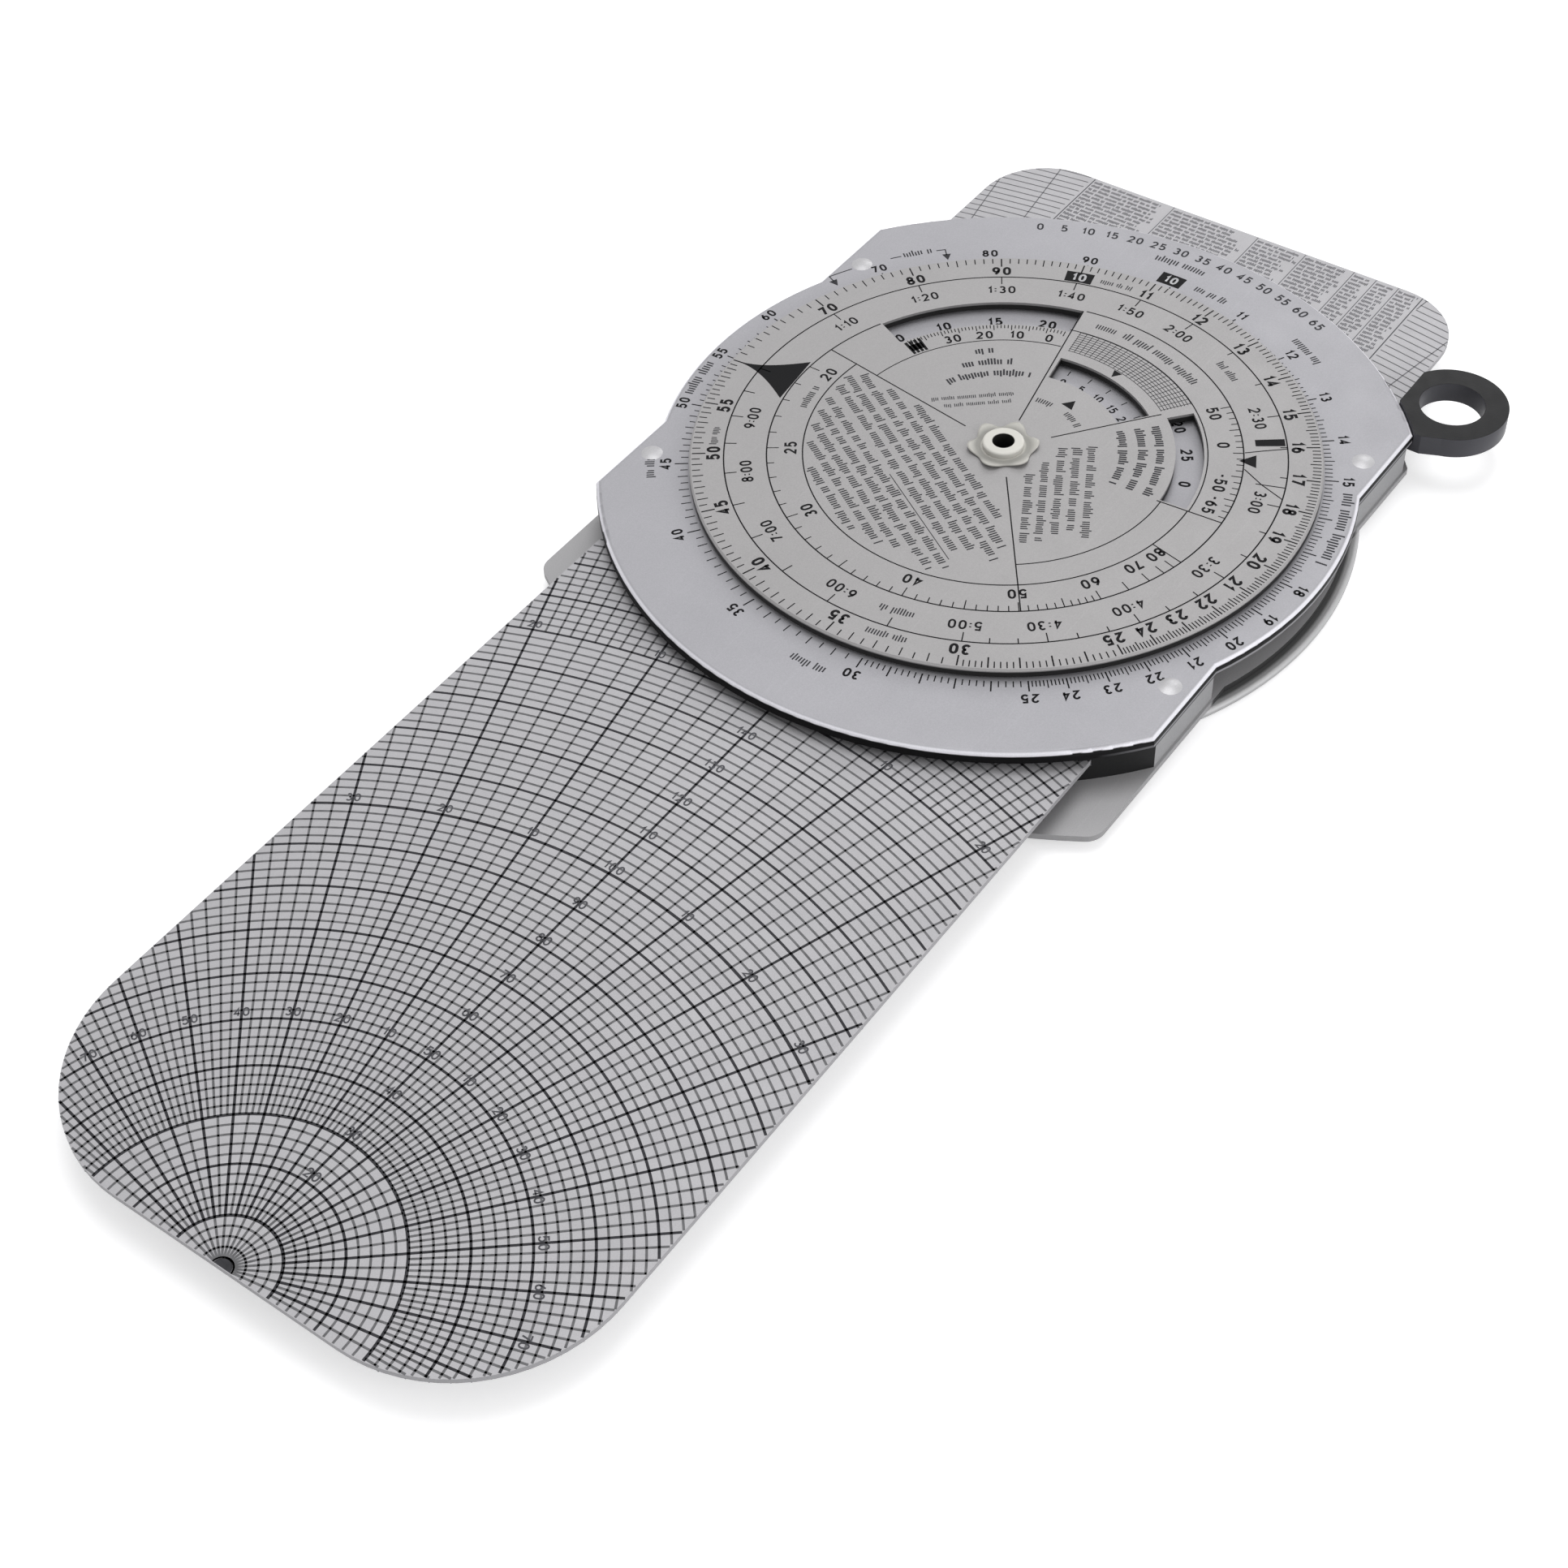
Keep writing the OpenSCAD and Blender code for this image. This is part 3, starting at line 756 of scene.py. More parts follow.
def short_and_long(ink, steps, every, r, lengths, width):
    """Ticks from a radius, with a long one wherever every divides the step."""
    short, long = lengths
    for step, angle in steps:
        ink.tick(r, r + (short if step % every else long), angle, width)


def log_numbers(ink, skips, style):
    for value in LOG_NUMBERS:
        if value not in skips:
            ink.dial_number(str(value), log_angle(value), *style)


def log_ticks(ink, r_edge, short, middle, long, width):
    """Ticks of a logarithmic scale, from an edge. Lengths below 0 run inward."""
    for low, high, small, mid, big in LOG_STEPS:
        for value in range(low, high, small):
            length = long if value % big == 0 else middle if value % mid == 0 else short
            wide = width * (LONG_TICK_WIDER if value % big == 0 else 1.0)
            ink.tick(r_edge, r_edge + length, log_angle(value / 10), wide)


TEN_TICK, FIVE_TICK = 2.6, 1.9


def degree_tick(degrees, short):
    """Length of a tick on a scale of degrees."""
    return TEN_TICK if degrees % 10 == 0 else FIVE_TICK if degrees % 5 == 0 else short


# Front plate

PLATE_TICK_R = 54.3
# Lengths of short, middle and long ticks, and their width
PLATE_TICKS = (1.3, 1.75, 2.3, 0.19)
PLATE_STYLE = (58.2, 2.0, 0.19)
# Numbers whose place holds a row of strokes
PLATE_SKIPS = (16, 17)
# The black field of the 10: inner and outer radius, from and to as dial angles
PLATE_INDEX = (57.0, 60.2, -3.2, 1.4)
PLATE_INDEX_TALL = 2.1
# The row of numbers at the top: how many, first dial angle and step
TOP_ROW = (14, -26.5, 3.9)
TOP_STYLE = (66.9, 2.0)

# Rows of strokes along the scale: radius, from and to as dial angles, height
PLATE_ROWS = [
    (63.5, -6.0, 3.5, 1.4),
    (58.9, 4.0, 10.5, 1.3),
    (61.0, 25.5, 33.0, 1.3),
    (58.2, 66.5, 84.5, 1.6),
    (60.4, -50.2, -45.0, 1.3),
    (58.2, -105.5, -96.5, 1.5),
    (60.8, -128.0, -121.5, 1.3),
    (59.6, 176.0, 182.0, 1.3),
]

# A bracket over a part of the scale, broken by a number and a row of strokes
BRACKET_R = 60.3
BRACKET_PARTS = [(-64.8, -60.2), (-52.8, -50.8), (-44.4, -42.7)]
BRACKET_ENDS = (-64.7, -42.8)
BRACKET_LINE = 0.22
BRACKET_TICK = 1.7
# Its pointers: how far in their tips and bases are, and half the base in degrees
BRACKET_TIP, BRACKET_BASE, BRACKET_HALF = 3.2, 1.4, 0.8

# What the disc's windows show of the plate, each as a full turn: how many numbers and the first
# one's dial angle
OUTER_TURN, OUTER_STYLE = (25, -49), (37.6, 2.2, BOLD_FIGURE)
INNER_TURN, INNER_STYLE = (38, -5.3), (22.9, 1.7, FINE_FIGURE)
MIDDLE_TURN, MIDDLE_STYLE = (26, 70), (31.3, 2.1, BOLD_FIGURE)
OUTER_PARTS = 6
OUTER_TICK_R, OUTER_TICKS = 34.5, (1.2, 1.7)
INNER_TICK_R = (24.9, 26.2)


def full_turn(count, first):
    return even_steps(count, first, 360 / count)


def window_scales(ink):
    for step, angle in full_turn(*OUTER_TURN):
        ink.dial_number(str(step * 5 % 90 + 10), angle, *OUTER_STYLE)
        parts = even_steps(OUTER_PARTS, angle, 360 / OUTER_TURN[0] / OUTER_PARTS)
        short_and_long(ink, parts, OUTER_PARTS, OUTER_TICK_R, OUTER_TICKS, TICK)
    for step, angle in full_turn(*INNER_TURN):
        ink.dial_number(str(step % 9 * 5), angle, *INNER_STYLE)
        ink.tick(*INNER_TICK_R, angle, FINE_TICK)
    for step, angle in full_turn(*MIDDLE_TURN):
        ink.dial_number(str(step * 5 % 100), angle, *MIDDLE_STYLE)


def plate_print():
    ink = Print(top_of("front_plate"))
    log_ticks(ink, PLATE_TICK_R, *PLATE_TICKS)
    log_numbers(ink, PLATE_SKIPS, PLATE_STYLE)
    ink.sector(*PLATE_INDEX)
    window_scales(ink)
    ink.make("plate_scale_print", "frame", INK)

    index = Print(top_of("front_plate") + INK_RISE)
    r_in, r_out, a_from, a_to = PLATE_INDEX
    r, angle = (r_in + r_out) / 2, (a_from + a_to) / 2
    index.dial_number("10", angle, r, PLATE_INDEX_TALL, BOLD_FIGURE)
    index.make("plate_index_print", "frame", PALE_INK)

    notes = Print(top_of("front_plate"))
    for step, angle in even_steps(*TOP_ROW):
        notes.dial_number(str(5 * step), angle, *TOP_STYLE)
    for row in PLATE_ROWS:
        notes.curved_strokes(*row)
    for a_from, a_to in BRACKET_PARTS:
        notes.arc(BRACKET_R, a_from, a_to, BRACKET_LINE)
    for angle in BRACKET_ENDS:
        notes.tick(BRACKET_R - BRACKET_TICK, BRACKET_R, angle, BRACKET_LINE)
        notes.pointer(BRACKET_R - BRACKET_TIP, BRACKET_R - BRACKET_BASE, angle, BRACKET_HALF)
    notes.make("plate_note_print", "frame", FINE_INK)


plate_print()


# Calculator disc

DISC_EDGE = 53.5
# Ticks and the black field of the 10, given like the plate's
MINUTE_TICKS = (-1.4, -1.85, -2.35, 0.2)
MINUTE_INDEX = (48.35, 51.3, -2.9, 2.9)
MINUTE_NUMBER_R = 49.8
INDEX_STYLE = (MINUTE_NUMBER_R, 2.2, BOLD_FIGURE)
MINUTE_STYLE = (MINUTE_NUMBER_R, 2.4, 0.205)
MINUTE_RING_R, SINE_RING_R, FIELD_RING_R, NOTE_RING_R = 48.0, 40.6, 34.4, 29.5

# Dial angles of the borders between the disc's fields, clockwise: the upper window's field, the
# field of the other two windows, the small field of rows, and the large one back to the start
UPPER_FROM, UPPER_TO, INNER_TO, SMALL_TO = -65.1, 4.1, 101.4, 159.9
LARGE_TO = UPPER_FROM + 360

# Arcs between the fields: radius, from and to as dial angles, width
FIELD_ARCS = [
    (SINE_RING_R, 5.5, 311.0, RING_LINE),
    (FIELD_RING_R, INNER_TO, LARGE_TO, 0.22),
    (NOTE_RING_R, INNER_TO, SMALL_TO, 0.2),
    (NOTE_RING_R, UPPER_FROM, UPPER_TO, 0.18),
    (FIELD_RING_R + 0.2, UPPER_TO, INNER_TO, 0.2),
]
# Straight dividers: inner and outer radius, dial angle
DIVIDERS = [
    (8.6, 40.5, UPPER_FROM),
    (7.7, 40.5, UPPER_TO + 0.5),
    (8.6, 28.6, 55.6),
    (7.7, 40.5, SMALL_TO),
    (28.8, 40.5, INNER_TO + 0.2),
]
DIVIDER_LINE = 0.22

# Hours, in minutes: the ticks, their two lengths, the time up to which all are long, the numbers
HOUR_MARKS = [*range(60, 300, 10), *range(300, 600, 30)]
HOUR_TICK, HOUR_LONG_TICK = 1.2, 2.1
HOUR_ALL_LONG = 120
HOUR_NUMBERS = [*range(70, 121, 10), *range(150, 300, 30), *range(300, 541, 60)]
HOUR_STYLE = (44.2, 2.1)

# The arrow, and the number that it stands for
ARROW_FOR = 60
ARROW_AT = log_angle(ARROW_FOR)
ARROW_HALF = 7.8
ARROW_BASE, ARROW_TIP = 41.2, 53.4
ARROW_STEPS = 10
ARROW_CURVE = 2.2

# Dial angle of 90 on the sine scale
SINE_END = 118.6
SINE_MARKS = [*range(20, 60), *range(60, 81, 5)]
SINE_TICKS = (-1.3, -2.1)
SINE_NUMBERS = (20, 25, 30, 40, 50, 60, 70, 80)
SINE_STYLE = (36.5, 2.2, FINE_FIGURE)

# Along the upper window's inner edge: how many ticks, the first one's dial angle and the step,
# and the same for the numbers
WINDOW_STEPS = (46, -46.5, 1.1)
WINDOW_TICK_R, WINDOW_TICKS = 33.8, (-0.9, -1.4)
WINDOW_NUMBERS = (4, -33.0, 10.7)
WINDOW_STYLE = (31.1, 2.1, FINE_FIGURE)
# The barred mark at its start: how many bars, first dial angle and step, and its body
MARK_BARS = (4, -48.0, 1.5)
MARK_BAR_WIDE = 1.0
MARK_BAR_R = (29.9, 33.5)
MARK_BODY = (30.7, 32.4, -47.6, -43.0)

# The scale at the right: its numbers with their dial angles, and its ticks like those above
SIDE_NUMBERS = [(59.5, "50"), (72.5, "0"), (87.5, "-50"), (96.5, "-65")]
SIDE_STYLE = (37.3, 2.2, FINE_FIGURE)
SIDE_STEPS = (20, 58, 2.2)
SIDE_TICKS = (-1.2, -1.8)
# Outside it, a black bar, and lines through points given as radius and dial angle
SIDE_BAR = (42.7, 47.7, 70.8, 73.0)
SIDE_LINES = [
    [(40.8, 75.4), (44.0, 74.6), (47.9, 73.9)],
    [(40.8, 81.4), (44.0, 86.0), (47.9, 89.5)],
    [(43.0, 86.0), (47.9, 86.0)],
]
# Pointers: radius of the tip and of the base, dial angle, half the base in degrees
POINTERS = [(39.8, 42.7, 78.4, 2.2), (26.9, 28.7, 28.4, 1.8), (17.7, 15.5, 28.9, 4.5)]


def arrow_side(side):
    """Points up one side of the arrow, from its base to just short of its tip."""
    points = []
    for i in range(ARROW_STEPS):
        t = i / ARROW_STEPS
        half = ARROW_HALF * (1 - t) ** ARROW_CURVE
        points.append(dial(ARROW_BASE + (ARROW_TIP - ARROW_BASE) * t, ARROW_AT + side * half))
    return points


def sine_angle(degrees):
    """Place of an angle on the sine scale, which runs backwards."""
    return SINE_END - 360 * math.log10(math.sin(math.radians(degrees)))


def minute_scale(ink):
    """The scale at the disc's edge, with the hours inside it."""
    log_ticks(ink, DISC_EDGE, *MINUTE_TICKS)
    log_numbers(ink, (ARROW_FOR,), MINUTE_STYLE)
    ink.sector(*MINUTE_INDEX)
    ink.circle(MINUTE_RING_R, RING_LINE)
    for minutes in HOUR_MARKS:
        long = minutes % 30 == 0 or minutes <= HOUR_ALL_LONG
        length = HOUR_LONG_TICK if long else HOUR_TICK
        ink.tick(MINUTE_RING_R, MINUTE_RING_R - length, log_angle(minutes), TICK)
    for minutes in HOUR_NUMBERS:
        label = f"{minutes // 60}:{minutes % 60:02d}"
        ink.dial_number(label, log_angle(minutes), *HOUR_STYLE)
    ink.prism([*arrow_side(1), dial(ARROW_TIP, ARROW_AT), *arrow_side(-1)[::-1]])


def field_borders(ink):
    for arc in FIELD_ARCS:
        ink.arc(*arc)
    for divider in DIVIDERS:
        ink.tick(*divider, DIVIDER_LINE)


def sine_scale(ink):
    steps = [(degrees, sine_angle(degrees)) for degrees in SINE_MARKS]
    short_and_long(ink, steps, 5, SINE_RING_R, SINE_TICKS, FINE_TICK)
    for degrees in SINE_NUMBERS:
        ink.dial_number(str(degrees), sine_angle(degrees), *SINE_STYLE)
    ink.tick(FIELD_RING_R, SINE_RING_R, sine_angle(90), TICK)


def upper_window_scale(ink):
    """Ticks and numbers along the inner edge of the upper window, and the mark at their start."""
    short_and_long(ink, even_steps(*WINDOW_STEPS), 5, WINDOW_TICK_R, WINDOW_TICKS, HAIR_TICK)
    for step, angle in even_steps(*WINDOW_NUMBERS):
        ink.dial_number(str(30 - 10 * step), angle, *WINDOW_STYLE)
    for _, angle in even_steps(*MARK_BARS):
        ink.sector(*MARK_BAR_R, angle, angle + MARK_BAR_WIDE)
    ink.sector(*MARK_BODY)


def side_scale(ink):
    """The scale at the right, the marks outside it and the pointers at the small window."""
    for angle, value in SIDE_NUMBERS:
        ink.dial_number(value, angle, *SIDE_STYLE)
    short_and_long(ink, even_steps(*SIDE_STEPS), 4, SINE_RING_R, SIDE_TICKS, FINE_TICK)
    ink.sector(*SIDE_BAR)
    for line in SIDE_LINES:
        ink.band([dial(*point) for point in line], TICK)
    for pointer in POINTERS:
        ink.pointer(*pointer)


def disc_print():
    ink = Print(top_of("calculator_disc"), turn=DISC_TURN)
    minute_scale(ink)
    field_borders(ink)
    sine_scale(ink)
    upper_window_scale(ink)
    side_scale(ink)
    ink.make("disc_scale_print", "disc", INK)

    index = Print(top_of("calculator_disc") + INK_RISE, turn=DISC_TURN)
    index.dial_number("10", 0.0, *INDEX_STYLE)
    index.make("disc_index_print", "disc", PALE_INK)


disc_print()


# Rows of strokes on the disc

NOTE_PITCH = 2.53
BOLD_STROKE = 0.26

# Fields that rows fill: from and to as dial angles, inner and outer radius, margin at the sides
LARGE_FIELD = (SMALL_TO, LARGE_TO, 9.0, 33.2, 1.4)
SMALL_FIELD = (68.0, SMALL_TO, 8.2, 27.6, 1.2)
UPPER_FIELD = (UPPER_FROM, UPPER_TO, 9.0, 19.0, 1.5)
# The dial angles that their rows' tops point to, and the heights of a row's strokes
LARGE_UP, SMALL_UP, UPPER_UP = 47.9, 78.0, -23.1
LARGE_TALL, SMALL_TALL, UPPER_TALL = 1.3, 1.25, 0.8
# Where blocks of rows start, the rule between the two of the large field, and the upper rows
BLOCK_ROWS = 5
LARGE_BLOCKS = (-8.55, -21.75)
RULE_AT, RULE_FROM, RULE_TO, RULE_LINE = -20.4, -2.0, 21.6, 0.14
SMALL_BLOCK = 4.9
UPPER_ROWS = (12.2, 14.2)

# Bold curved rows: radii and dial angles of those at the small field, and radius and half the
# length in degrees of those about the upper field's middle
BOLD_TALL = 1.3
SIDE_ARCS = (26.6, 23.5, 20.4)
SIDE_ARC_FROM, SIDE_ARC_TO = 61.8, 101.0
UPPER_ARCS = [(26.6, 3.4), (23.3, 10.5), (20.2, 21.5)]

# Other curved rows: radius, from and to as dial angles, height
DISC_ROWS = [
    (14.1, 8.5, 24.0, 1.1),
    (14.1, 34.0, 50.5, 1.1),
    (37.4, 10.5, 16.5, 1.2),
    (37.4, 19.0, 48.0, 1.4),
    (44.2, 42.5, 49.5, 1.2),
    (44.2, 183.0, 190.5, 1.2),
    (50.0, 182.0, 190.5, 1.2),
    (36.4, -89.0, -79.5, 1.2),
    (49.9, 4.8, 11.5, 1.0),
    (49.9, 254.5, 259.5, 1.0),
]

# The fine net of arcs and rays over the small window
NET_IN, NET_OUT = 28.9, 34.5
NET_ARC_LINE, NET_RAY_LINE = 0.12, 0.11
NET_FROM, NET_TO = 7.2, 54.0
# How many arcs and rays, the place of the first and the step
NET_ARCS = (10, NET_IN, 0.62)
NET_RAYS = (24, 7.5, 2)


def in_sector(a_from, a_to, r_in, r_out, margin):
    """Whether a point is in a piece of a ring, by a margin from its two straight sides."""
    mid, half = (a_from + a_to) / 2, (a_to - a_from) / 2

    def inside(x, y):
        r = math.hypot(x, y)
        off = (math.degrees(math.atan2(x, y)) - mid + 180) % 360 - 180
        return r_in < r < r_out and math.radians(half - abs(off)) * r > margin

    return inside


def disc_notes():
    notes = Print(top_of("calculator_disc"), turn=DISC_TURN)
    rows = [first - NOTE_PITCH * i for first in LARGE_BLOCKS for i in range(BLOCK_ROWS)]
    notes.rows_of_strokes(in_sector(*LARGE_FIELD), LARGE_UP, rows, LARGE_TALL)
    rows = [SMALL_BLOCK + NOTE_PITCH * i for i in range(BLOCK_ROWS)]
    notes.rows_of_strokes(in_sector(*SMALL_FIELD), SMALL_UP, rows, SMALL_TALL)
    rule = turned_to(0, 0, LARGE_UP)
    notes.band([rule(RULE_FROM, RULE_AT), rule(RULE_TO, RULE_AT)], RULE_LINE)

    for r in SIDE_ARCS:
        notes.curved_strokes(r, SIDE_ARC_FROM, SIDE_ARC_TO, BOLD_TALL, BOLD_STROKE)
    for r, half in UPPER_ARCS:
        notes.curved_strokes(r, UPPER_UP - half, UPPER_UP + half, BOLD_TALL, BOLD_STROKE)
    notes.rows_of_strokes(in_sector(*UPPER_FIELD), UPPER_UP, UPPER_ROWS, UPPER_TALL)
    for row in DISC_ROWS:
        notes.curved_strokes(*row)

    for _, r in even_steps(*NET_ARCS):
        notes.arc(r, NET_FROM, NET_TO, NET_ARC_LINE)
    for _, angle in even_steps(*NET_RAYS):
        notes.tick(NET_IN, NET_OUT, angle, NET_RAY_LINE)
    notes.make("disc_note_print", "disc", FINE_INK)


disc_notes()


# Slide card

GRID_STEP = 8.478
GRID_CELLS = 5
GRID_RINGS = 26
FAINT_RINGS = 7
BOLD_RINGS = (1, 3, 10, 20)
LABELLED_RINGS = (5, 10, 15, 20)
# Rings from which rays of even and of odd degrees start
EVEN_FROM, ODD_FROM = 3, 15
FAINT_LINE, FINE_LINE, HEAVY_LINE, BOLD_LINE = 0.18, 0.36, 0.42, 0.5
POLE_R = 1.5
RAY_START_R = 1.6
LABEL_UP = 1.4
LABEL_STROKE = 0.15
RING_LABEL_TALL, RAY_LABEL_TALL = 1.7, 1.6
CARD_INSET = 0.12
LABEL_INSET = 3.0
# The longest steps along a ring, in millimetres and in degrees, and along a ray
RING_STEP, RING_TURN, RAY_STEP = 1.3, 6.0, 0.5
# Halvings to find where a line leaves the card, and the least gap between points
HALVINGS = 12
LEAST_GAP = 0.01


def on_card(x, y, inset=CARD_INSET):
    """Whether a point is on the card's face, clear of its edge."""
    if abs(x) > CARD_HALF_W - inset or not CARD_LOW_Y + inset < y < CARD_TOP_Y - inset:
        return False
    lower = (CARD_LOW_R, CARD_LOW_Y + CARD_LOW_R - y)
    upper = (CARD_TOP_R, y - CARD_TOP_Y + CARD_TOP_R)
    for r, past_y in (lower, upper):
        past_x = abs(x) - (CARD_HALF_W - r)
        if past_x > 0 and past_y > 0:
            return math.hypot(past_x, past_y) < r - inset
    return True


def crossing(kept, lost, inside):
    """Where a line leaves a region, between a point in it and a point outside."""
    for _ in range(HALVINGS):
        mid = ((kept[0] + lost[0]) / 2, (kept[1] + lost[1]) / 2)
        if inside(*mid):
            kept = mid
        else:
            lost = mid
    return kept


def clipped(line, inside):
    """The runs of a line that are inside a region."""
    run = []
    for before, point in zip([None, *line], [*line, None]):
        if point and inside(*point):
            if before and not run:
                run.append(crossing(point, before, inside))
            run.append(point)
        elif run:
            if point:
                run.append(crossing(run[-1], point, inside))
            run = [a for i, a in enumerate(run) if i == 0 or math.dist(a, run[i - 1]) > LEAST_GAP]
            if len(run) > 1:
                yield run
            run = []


def from_pole(r, angle):
    x, y = dial(r, angle)
    return (x, CARD_LOW_Y + y)


def card_grid(facing, z, name, first, inside):
    """The polar grid of one side of the card. first is added to the numbers up its middle."""
    heavy, fine = Print(z, facing), Print(z, facing)
    faint, labels = Print(z + facing * INK_RISE, facing), Print(z + facing * INK_RISE, facing)
    end, outer = GRID_STEP * GRID_RINGS, GRID_STEP * (GRID_RINGS + FAINT_RINGS)

    def ring(ink, r, width):
        count = int(180 / min(RING_TURN, math.degrees(RING_STEP / r)))
        line = [from_pole(r, angle) for angle in spaced(-90, 90, count)]
        for run in clipped(line, inside):
            ink.band(run, width)

    def ray(ink, angle, r_from, r_to, width):
        count = max(2, int((r_to - r_from) / RAY_STEP))
        line = [from_pole(r, angle) for r in spaced(r_from, r_to, count)]
        for run in clipped(line, inside):
            ink.band([run[0], run[-1]], width)

    for i in range(1, (GRID_RINGS + FAINT_RINGS) * GRID_CELLS + 1):
        r = GRID_STEP * i / GRID_CELLS
        if i > GRID_RINGS * GRID_CELLS:
            ring(faint, r, FAINT_LINE)
        elif i % GRID_CELLS:
            ring(fine, r, FINE_LINE)
        else:
            ring(heavy, r, BOLD_LINE if i // GRID_CELLS in BOLD_RINGS else HEAVY_LINE)
    for degrees in range(-90, 91):
        if degrees % 10 == 0:
            ray(fine, degrees, RAY_START_R, GRID_STEP, FINE_LINE)
            ray(heavy, degrees, GRID_STEP, end, HEAVY_LINE)
        else:
            start = ODD_FROM if degrees % 2 else EVEN_FROM
            ray(fine, degrees, GRID_STEP * start, end, FINE_LINE)
        if degrees % 10 == 5:
            ray(fine, degrees, GRID_STEP, GRID_STEP * EVEN_FROM, FINE_LINE)
        if degrees % 2 == 0:
            ray(faint, degrees, end, outer, FAINT_LINE)

    # The pole, half of it off the card
    heavy.prism(bow(0, CARD_LOW_Y + CARD_INSET, POLE_R, POLE_R, 0, 180))

    for i in range(2, GRID_RINGS + 1):
        place = from_pole(GRID_STEP * i + LABEL_UP, 0)
        labels.number(str(first + 10 * i), *place, RING_LABEL_TALL, stroke=LABEL_STROKE)
    for i in LABELLED_RINGS:
        for degrees in range(10, 80, 10):
            for side in (-1, 1):
                x, y = from_pole(GRID_STEP * i + LABEL_UP, side * degrees)
                if on_card(x, y, LABEL_INSET):
                    up = side * degrees
                    labels.number(str(degrees), x, y, RAY_LABEL_TALL, up, LABEL_STROKE)
    heavy.make(f"card_{name}_heavy_grid", "slide", FINE_INK)
    fine.make(f"card_{name}_fine_grid", "slide", GRID_INK)
    faint.make(f"card_{name}_faint_grid", "slide", FAINT_INK)
    labels.make(f"card_{name}_number_print", "slide", TABLE_INK)


# The table at the card's upper end, and the margin that the grid keeps from it
TABLE_LEFT, TABLE_RIGHT = -32.0, 38.3
TABLE_LOW = 50.0
TABLE_MARGIN = 0.2
TABLE_COLUMNS = (-31.5, -14.0, 4.0, 14.0, 24.0, 28.5, 33.0, 38.0)
COLUMN_INSET = 0.5
ROW_PITCH = 1.15
ROW_TALL = 0.6
TABLE_STROKE = 0.24
TABLE_HEADROOM = 1.6
# How much of a column a row fills, and the widths of the table's outer and inner lines
ROW_FILL = (0.75, 1.0)
TABLE_EDGE, TABLE_RULE = 0.2, 0.13


def in_table(x, y):
    return on_card(x, y) and TABLE_LEFT < x < TABLE_RIGHT and y > TABLE_LOW


def off_table(x, y):
    across = TABLE_LEFT - TABLE_MARGIN < x < TABLE_RIGHT + TABLE_MARGIN
    return on_card(x, y) and not (across and y > TABLE_LOW - TABLE_MARGIN)


def card_table():
    table = Print(top_of("slide_card"))
    y = TABLE_LOW + TABLE_MARGIN
    while y < CARD_TOP_Y - TABLE_HEADROOM:
        for left, right in zip(TABLE_COLUMNS, TABLE_COLUMNS[1:]):
            length = (right - left - 2 * COLUMN_INSET) * random.uniform(*ROW_FILL)
            table.strokes(
                lambda u: (left + COLUMN_INSET + u, y + ROW_PITCH / 2, 0.0),
                length, ROW_TALL, TABLE_STROKE,
            )
        y += ROW_PITCH
    past_end = int((CARD_TOP_Y - TABLE_LOW) / RAY_STEP) + 2
    for x in TABLE_COLUMNS:
        width = TABLE_EDGE if x in (TABLE_COLUMNS[0], TABLE_COLUMNS[-1]) else TABLE_RULE
        line = [(x, TABLE_LOW + RAY_STEP * i) for i in range(past_end)]
        for run in clipped(line, in_table):
            table.band([run[0], run[-1]], width)
    table.make("card_table_print", "slide", TABLE_INK)


card_grid(1, top_of("slide_card"), "front", 0, off_table)
card_grid(-1, under("slide_card"), "back", 60, on_card)
card_table()


# Azimuth ring and the rear plate, seen from behind

RING_TICK_R = 59.6
RING_NUMBER_R, RING_NUMBER_TALL, RING_MAIN_TALL = 54.8, 1.8, 2.4
RING_LINE_R = 52.2
RING_TICK, REAR_TICK = 1.2, 1.3
REAR_TICK_R = 62.0
REAR_NUMBER_R, REAR_NUMBER_TALL = 66.6, 1.9
REAR_REACH = 22
POINTER_TALL = 3.4
POINTER_HALF = 2.2


def ring_print():
    ink = Print(under("azimuth_ring"), facing=-1)
    for degrees in range(360):
        r_to = RING_TICK_R - degree_tick(degrees, RING_TICK)
        ink.tick(RING_TICK_R, r_to, degrees, FINE_TICK)
    for degrees in range(0, 360, 10):
        tall = RING_NUMBER_TALL if degrees % 30 else RING_MAIN_TALL
        ink.dial_number(str(degrees), degrees, RING_NUMBER_R, tall)
    ink.circle(RING_LINE_R, TICK)
    ink.make("ring_compass_print", "azimuth", INK)


def rear_print():
    ink = Print(under("rear_plate"), facing=-1)
    ink.pointer(REAR_TICK_R, REAR_TICK_R + POINTER_TALL, 180, POINTER_HALF)
    for degrees in range(-REAR_REACH, REAR_REACH + 1):
        if abs(degrees) > POINTER_HALF:
            r_to = REAR_TICK_R + degree_tick(degrees, REAR_TICK)
            ink.tick(REAR_TICK_R, r_to, 180 + degrees, FINE_TICK)
    for degrees in (-20, -10, 10, 20):
        place = dial(REAR_NUMBER_R, 180 + degrees)
        ink.number(str(abs(degrees)), *place, REAR_NUMBER_TALL, degrees)
    ink.make("rear_index_print", "frame", INK)


ring_print()
rear_print()


# Stage and light

FLOOR_HALF = 3.0
FLOOR_Z = -0.0003
FLOOR_LIFT = 0.5
SKY_LOW, SKY_HIGH = 0.3, 0.7


def background_seen(tree):
    """1 for a ray that shows the background, 0 for one that gathers light."""
    rays = node(tree, "LightPath")
    seen = sum_of(tree, "MAXIMUM", rays["Is Camera Ray"], rays["Is Glossy Ray"])
    return sum_of(tree, "MAXIMUM", seen, rays["Is Transmission Ray"])


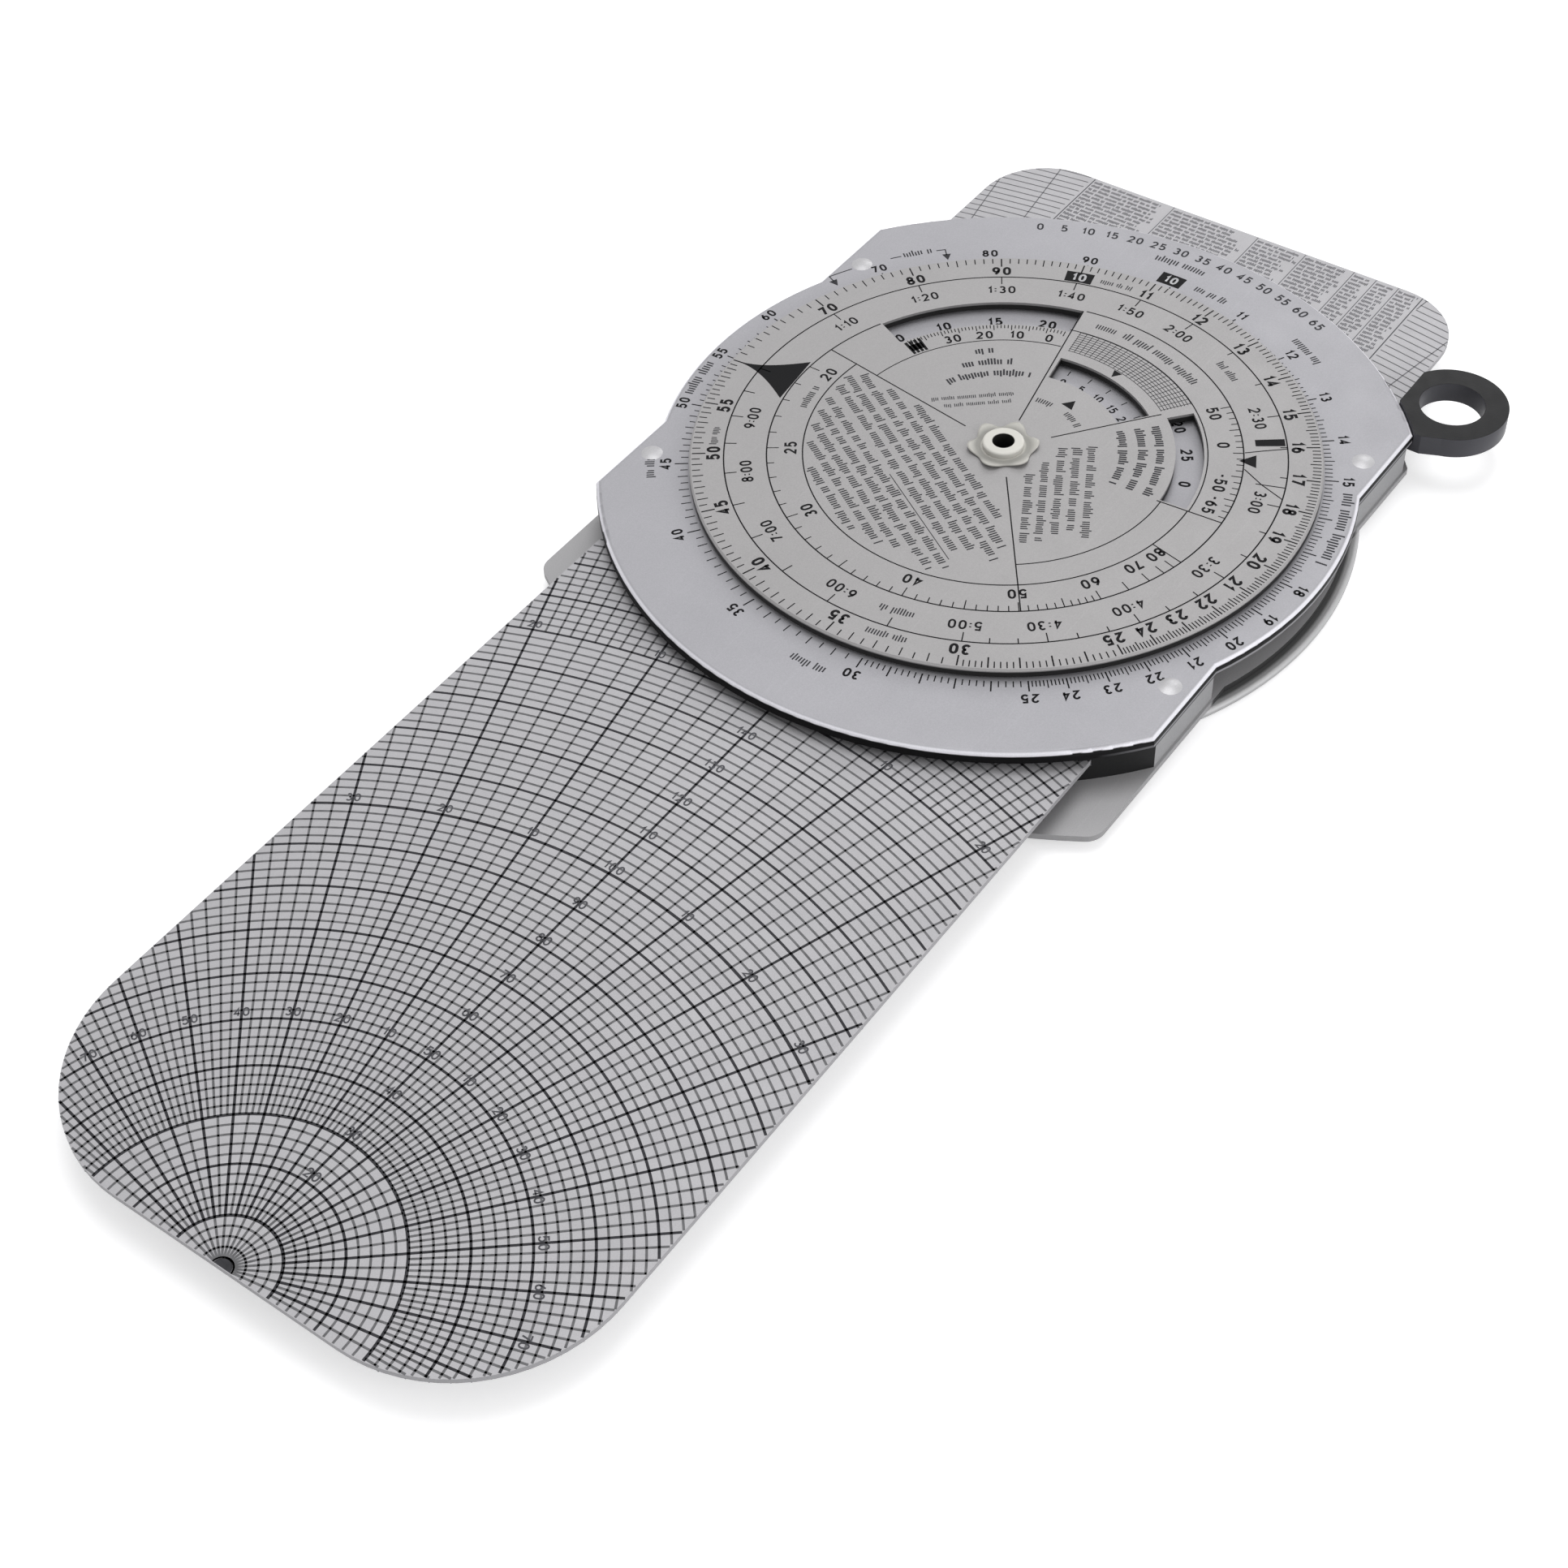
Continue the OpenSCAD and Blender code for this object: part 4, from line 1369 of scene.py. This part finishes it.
def stage_floor():
    """A pale floor that keeps the shadow."""
    material, tree, shader = principled("pale_floor")
    feed(tree, shader, {
        "Base Color": (0.8, 0.8, 0.81, 1),
        "Roughness": 0.9,
        "Emission Color": (1, 1, 1, 1),
        "Emission Strength": times(tree, background_seen(tree), FLOOR_LIFT),
    })
    corners = [(x * FLOOR_HALF, y * FLOOR_HALF, 0) for x, y in ((-1, -1), (1, -1), (1, 1), (-1, 1))]
    floor = mesh_piece("floor", corners, [(0, 1, 2, 3)], material)
    floor.location.z = FLOOR_Z


def world_light():
    """A white background over a sky that is brighter overhead than at the horizon."""
    world = bpy.data.worlds.new("studio")
    bpy.context.scene.world = world
    world.use_nodes = True
    tree = world.node_tree
    direction = node(tree, "TexCoord")["Generated"]
    height = node(tree, "SeparateXYZ", {"Vector": direction})["Z"]
    sky = ranged(tree, height, (0.0, 1.0), (SKY_LOW, SKY_HIGH))
    strength = ranged(tree, background_seen(tree), (0.0, 1.0), (sky, 1.0))
    feed(tree, tree.nodes["Background"], {"Color": (1, 1, 1, 1), "Strength": strength})


def softbox(name, place, aim, size, power):
    lamp = bpy.data.lights.new(name, "AREA")
    lamp.shape = "DISK"
    lamp.size = size
    lamp.energy = power
    holder = bpy.data.objects.new(name, lamp)
    holder.location = place
    holder.rotation_mode = "QUATERNION"
    holder.rotation_quaternion = (Vector(aim) - Vector(place)).to_track_quat("-Z", "Y")
    bpy.context.scene.collection.objects.link(holder)


stage_floor()
world_light()
softbox("key", place=(-0.16, 0.22, 1.1), aim=(0, -0.05, 0), size=0.7, power=4.0)
softbox("side", place=(1.0, 0.05, 0.4), aim=(0, 0, 0), size=0.6, power=3.0)
softbox("back", place=(-0.25, 0.9, 0.55), aim=(0, 0.03, 0), size=0.4, power=1.2)


# Camera, as solved on the photo

IMAGE_PX = 1932
FOCAL_PX = 3270.9
CENTRE_OFF_PX = (-101.0, 1.5)
SENSOR_W = 36.0
CAMERA_AT = Vector((183.03, -301.04, 311.08)) * MM
CAMERA_FORWARD = Vector((-0.44046652, 0.51564399, -0.73491532))
CAMERA_RIGHT = Vector((0.79817482, 0.59966253, -0.05763509))


def photo_camera():
    lens = bpy.data.cameras.new("photo_camera")
    lens.sensor_width = SENSOR_W
    lens.lens = FOCAL_PX / IMAGE_PX * SENSOR_W
    lens.shift_x = -CENTRE_OFF_PX[0] / IMAGE_PX
    lens.shift_y = CENTRE_OFF_PX[1] / IMAGE_PX
    camera = bpy.data.objects.new("photo_camera", lens)
    back = -CAMERA_FORWARD.normalized()
    right = (CAMERA_RIGHT - CAMERA_RIGHT.dot(back) * back).normalized()
    up = back.cross(right)
    turn = Matrix((right, up, back)).transposed().to_4x4()
    camera.matrix_world = Matrix.Translation(CAMERA_AT) @ turn
    bpy.context.scene.collection.objects.link(camera)
    bpy.context.scene.camera = camera


photo_camera()
bpy.context.scene.view_settings.view_transform = "Standard"
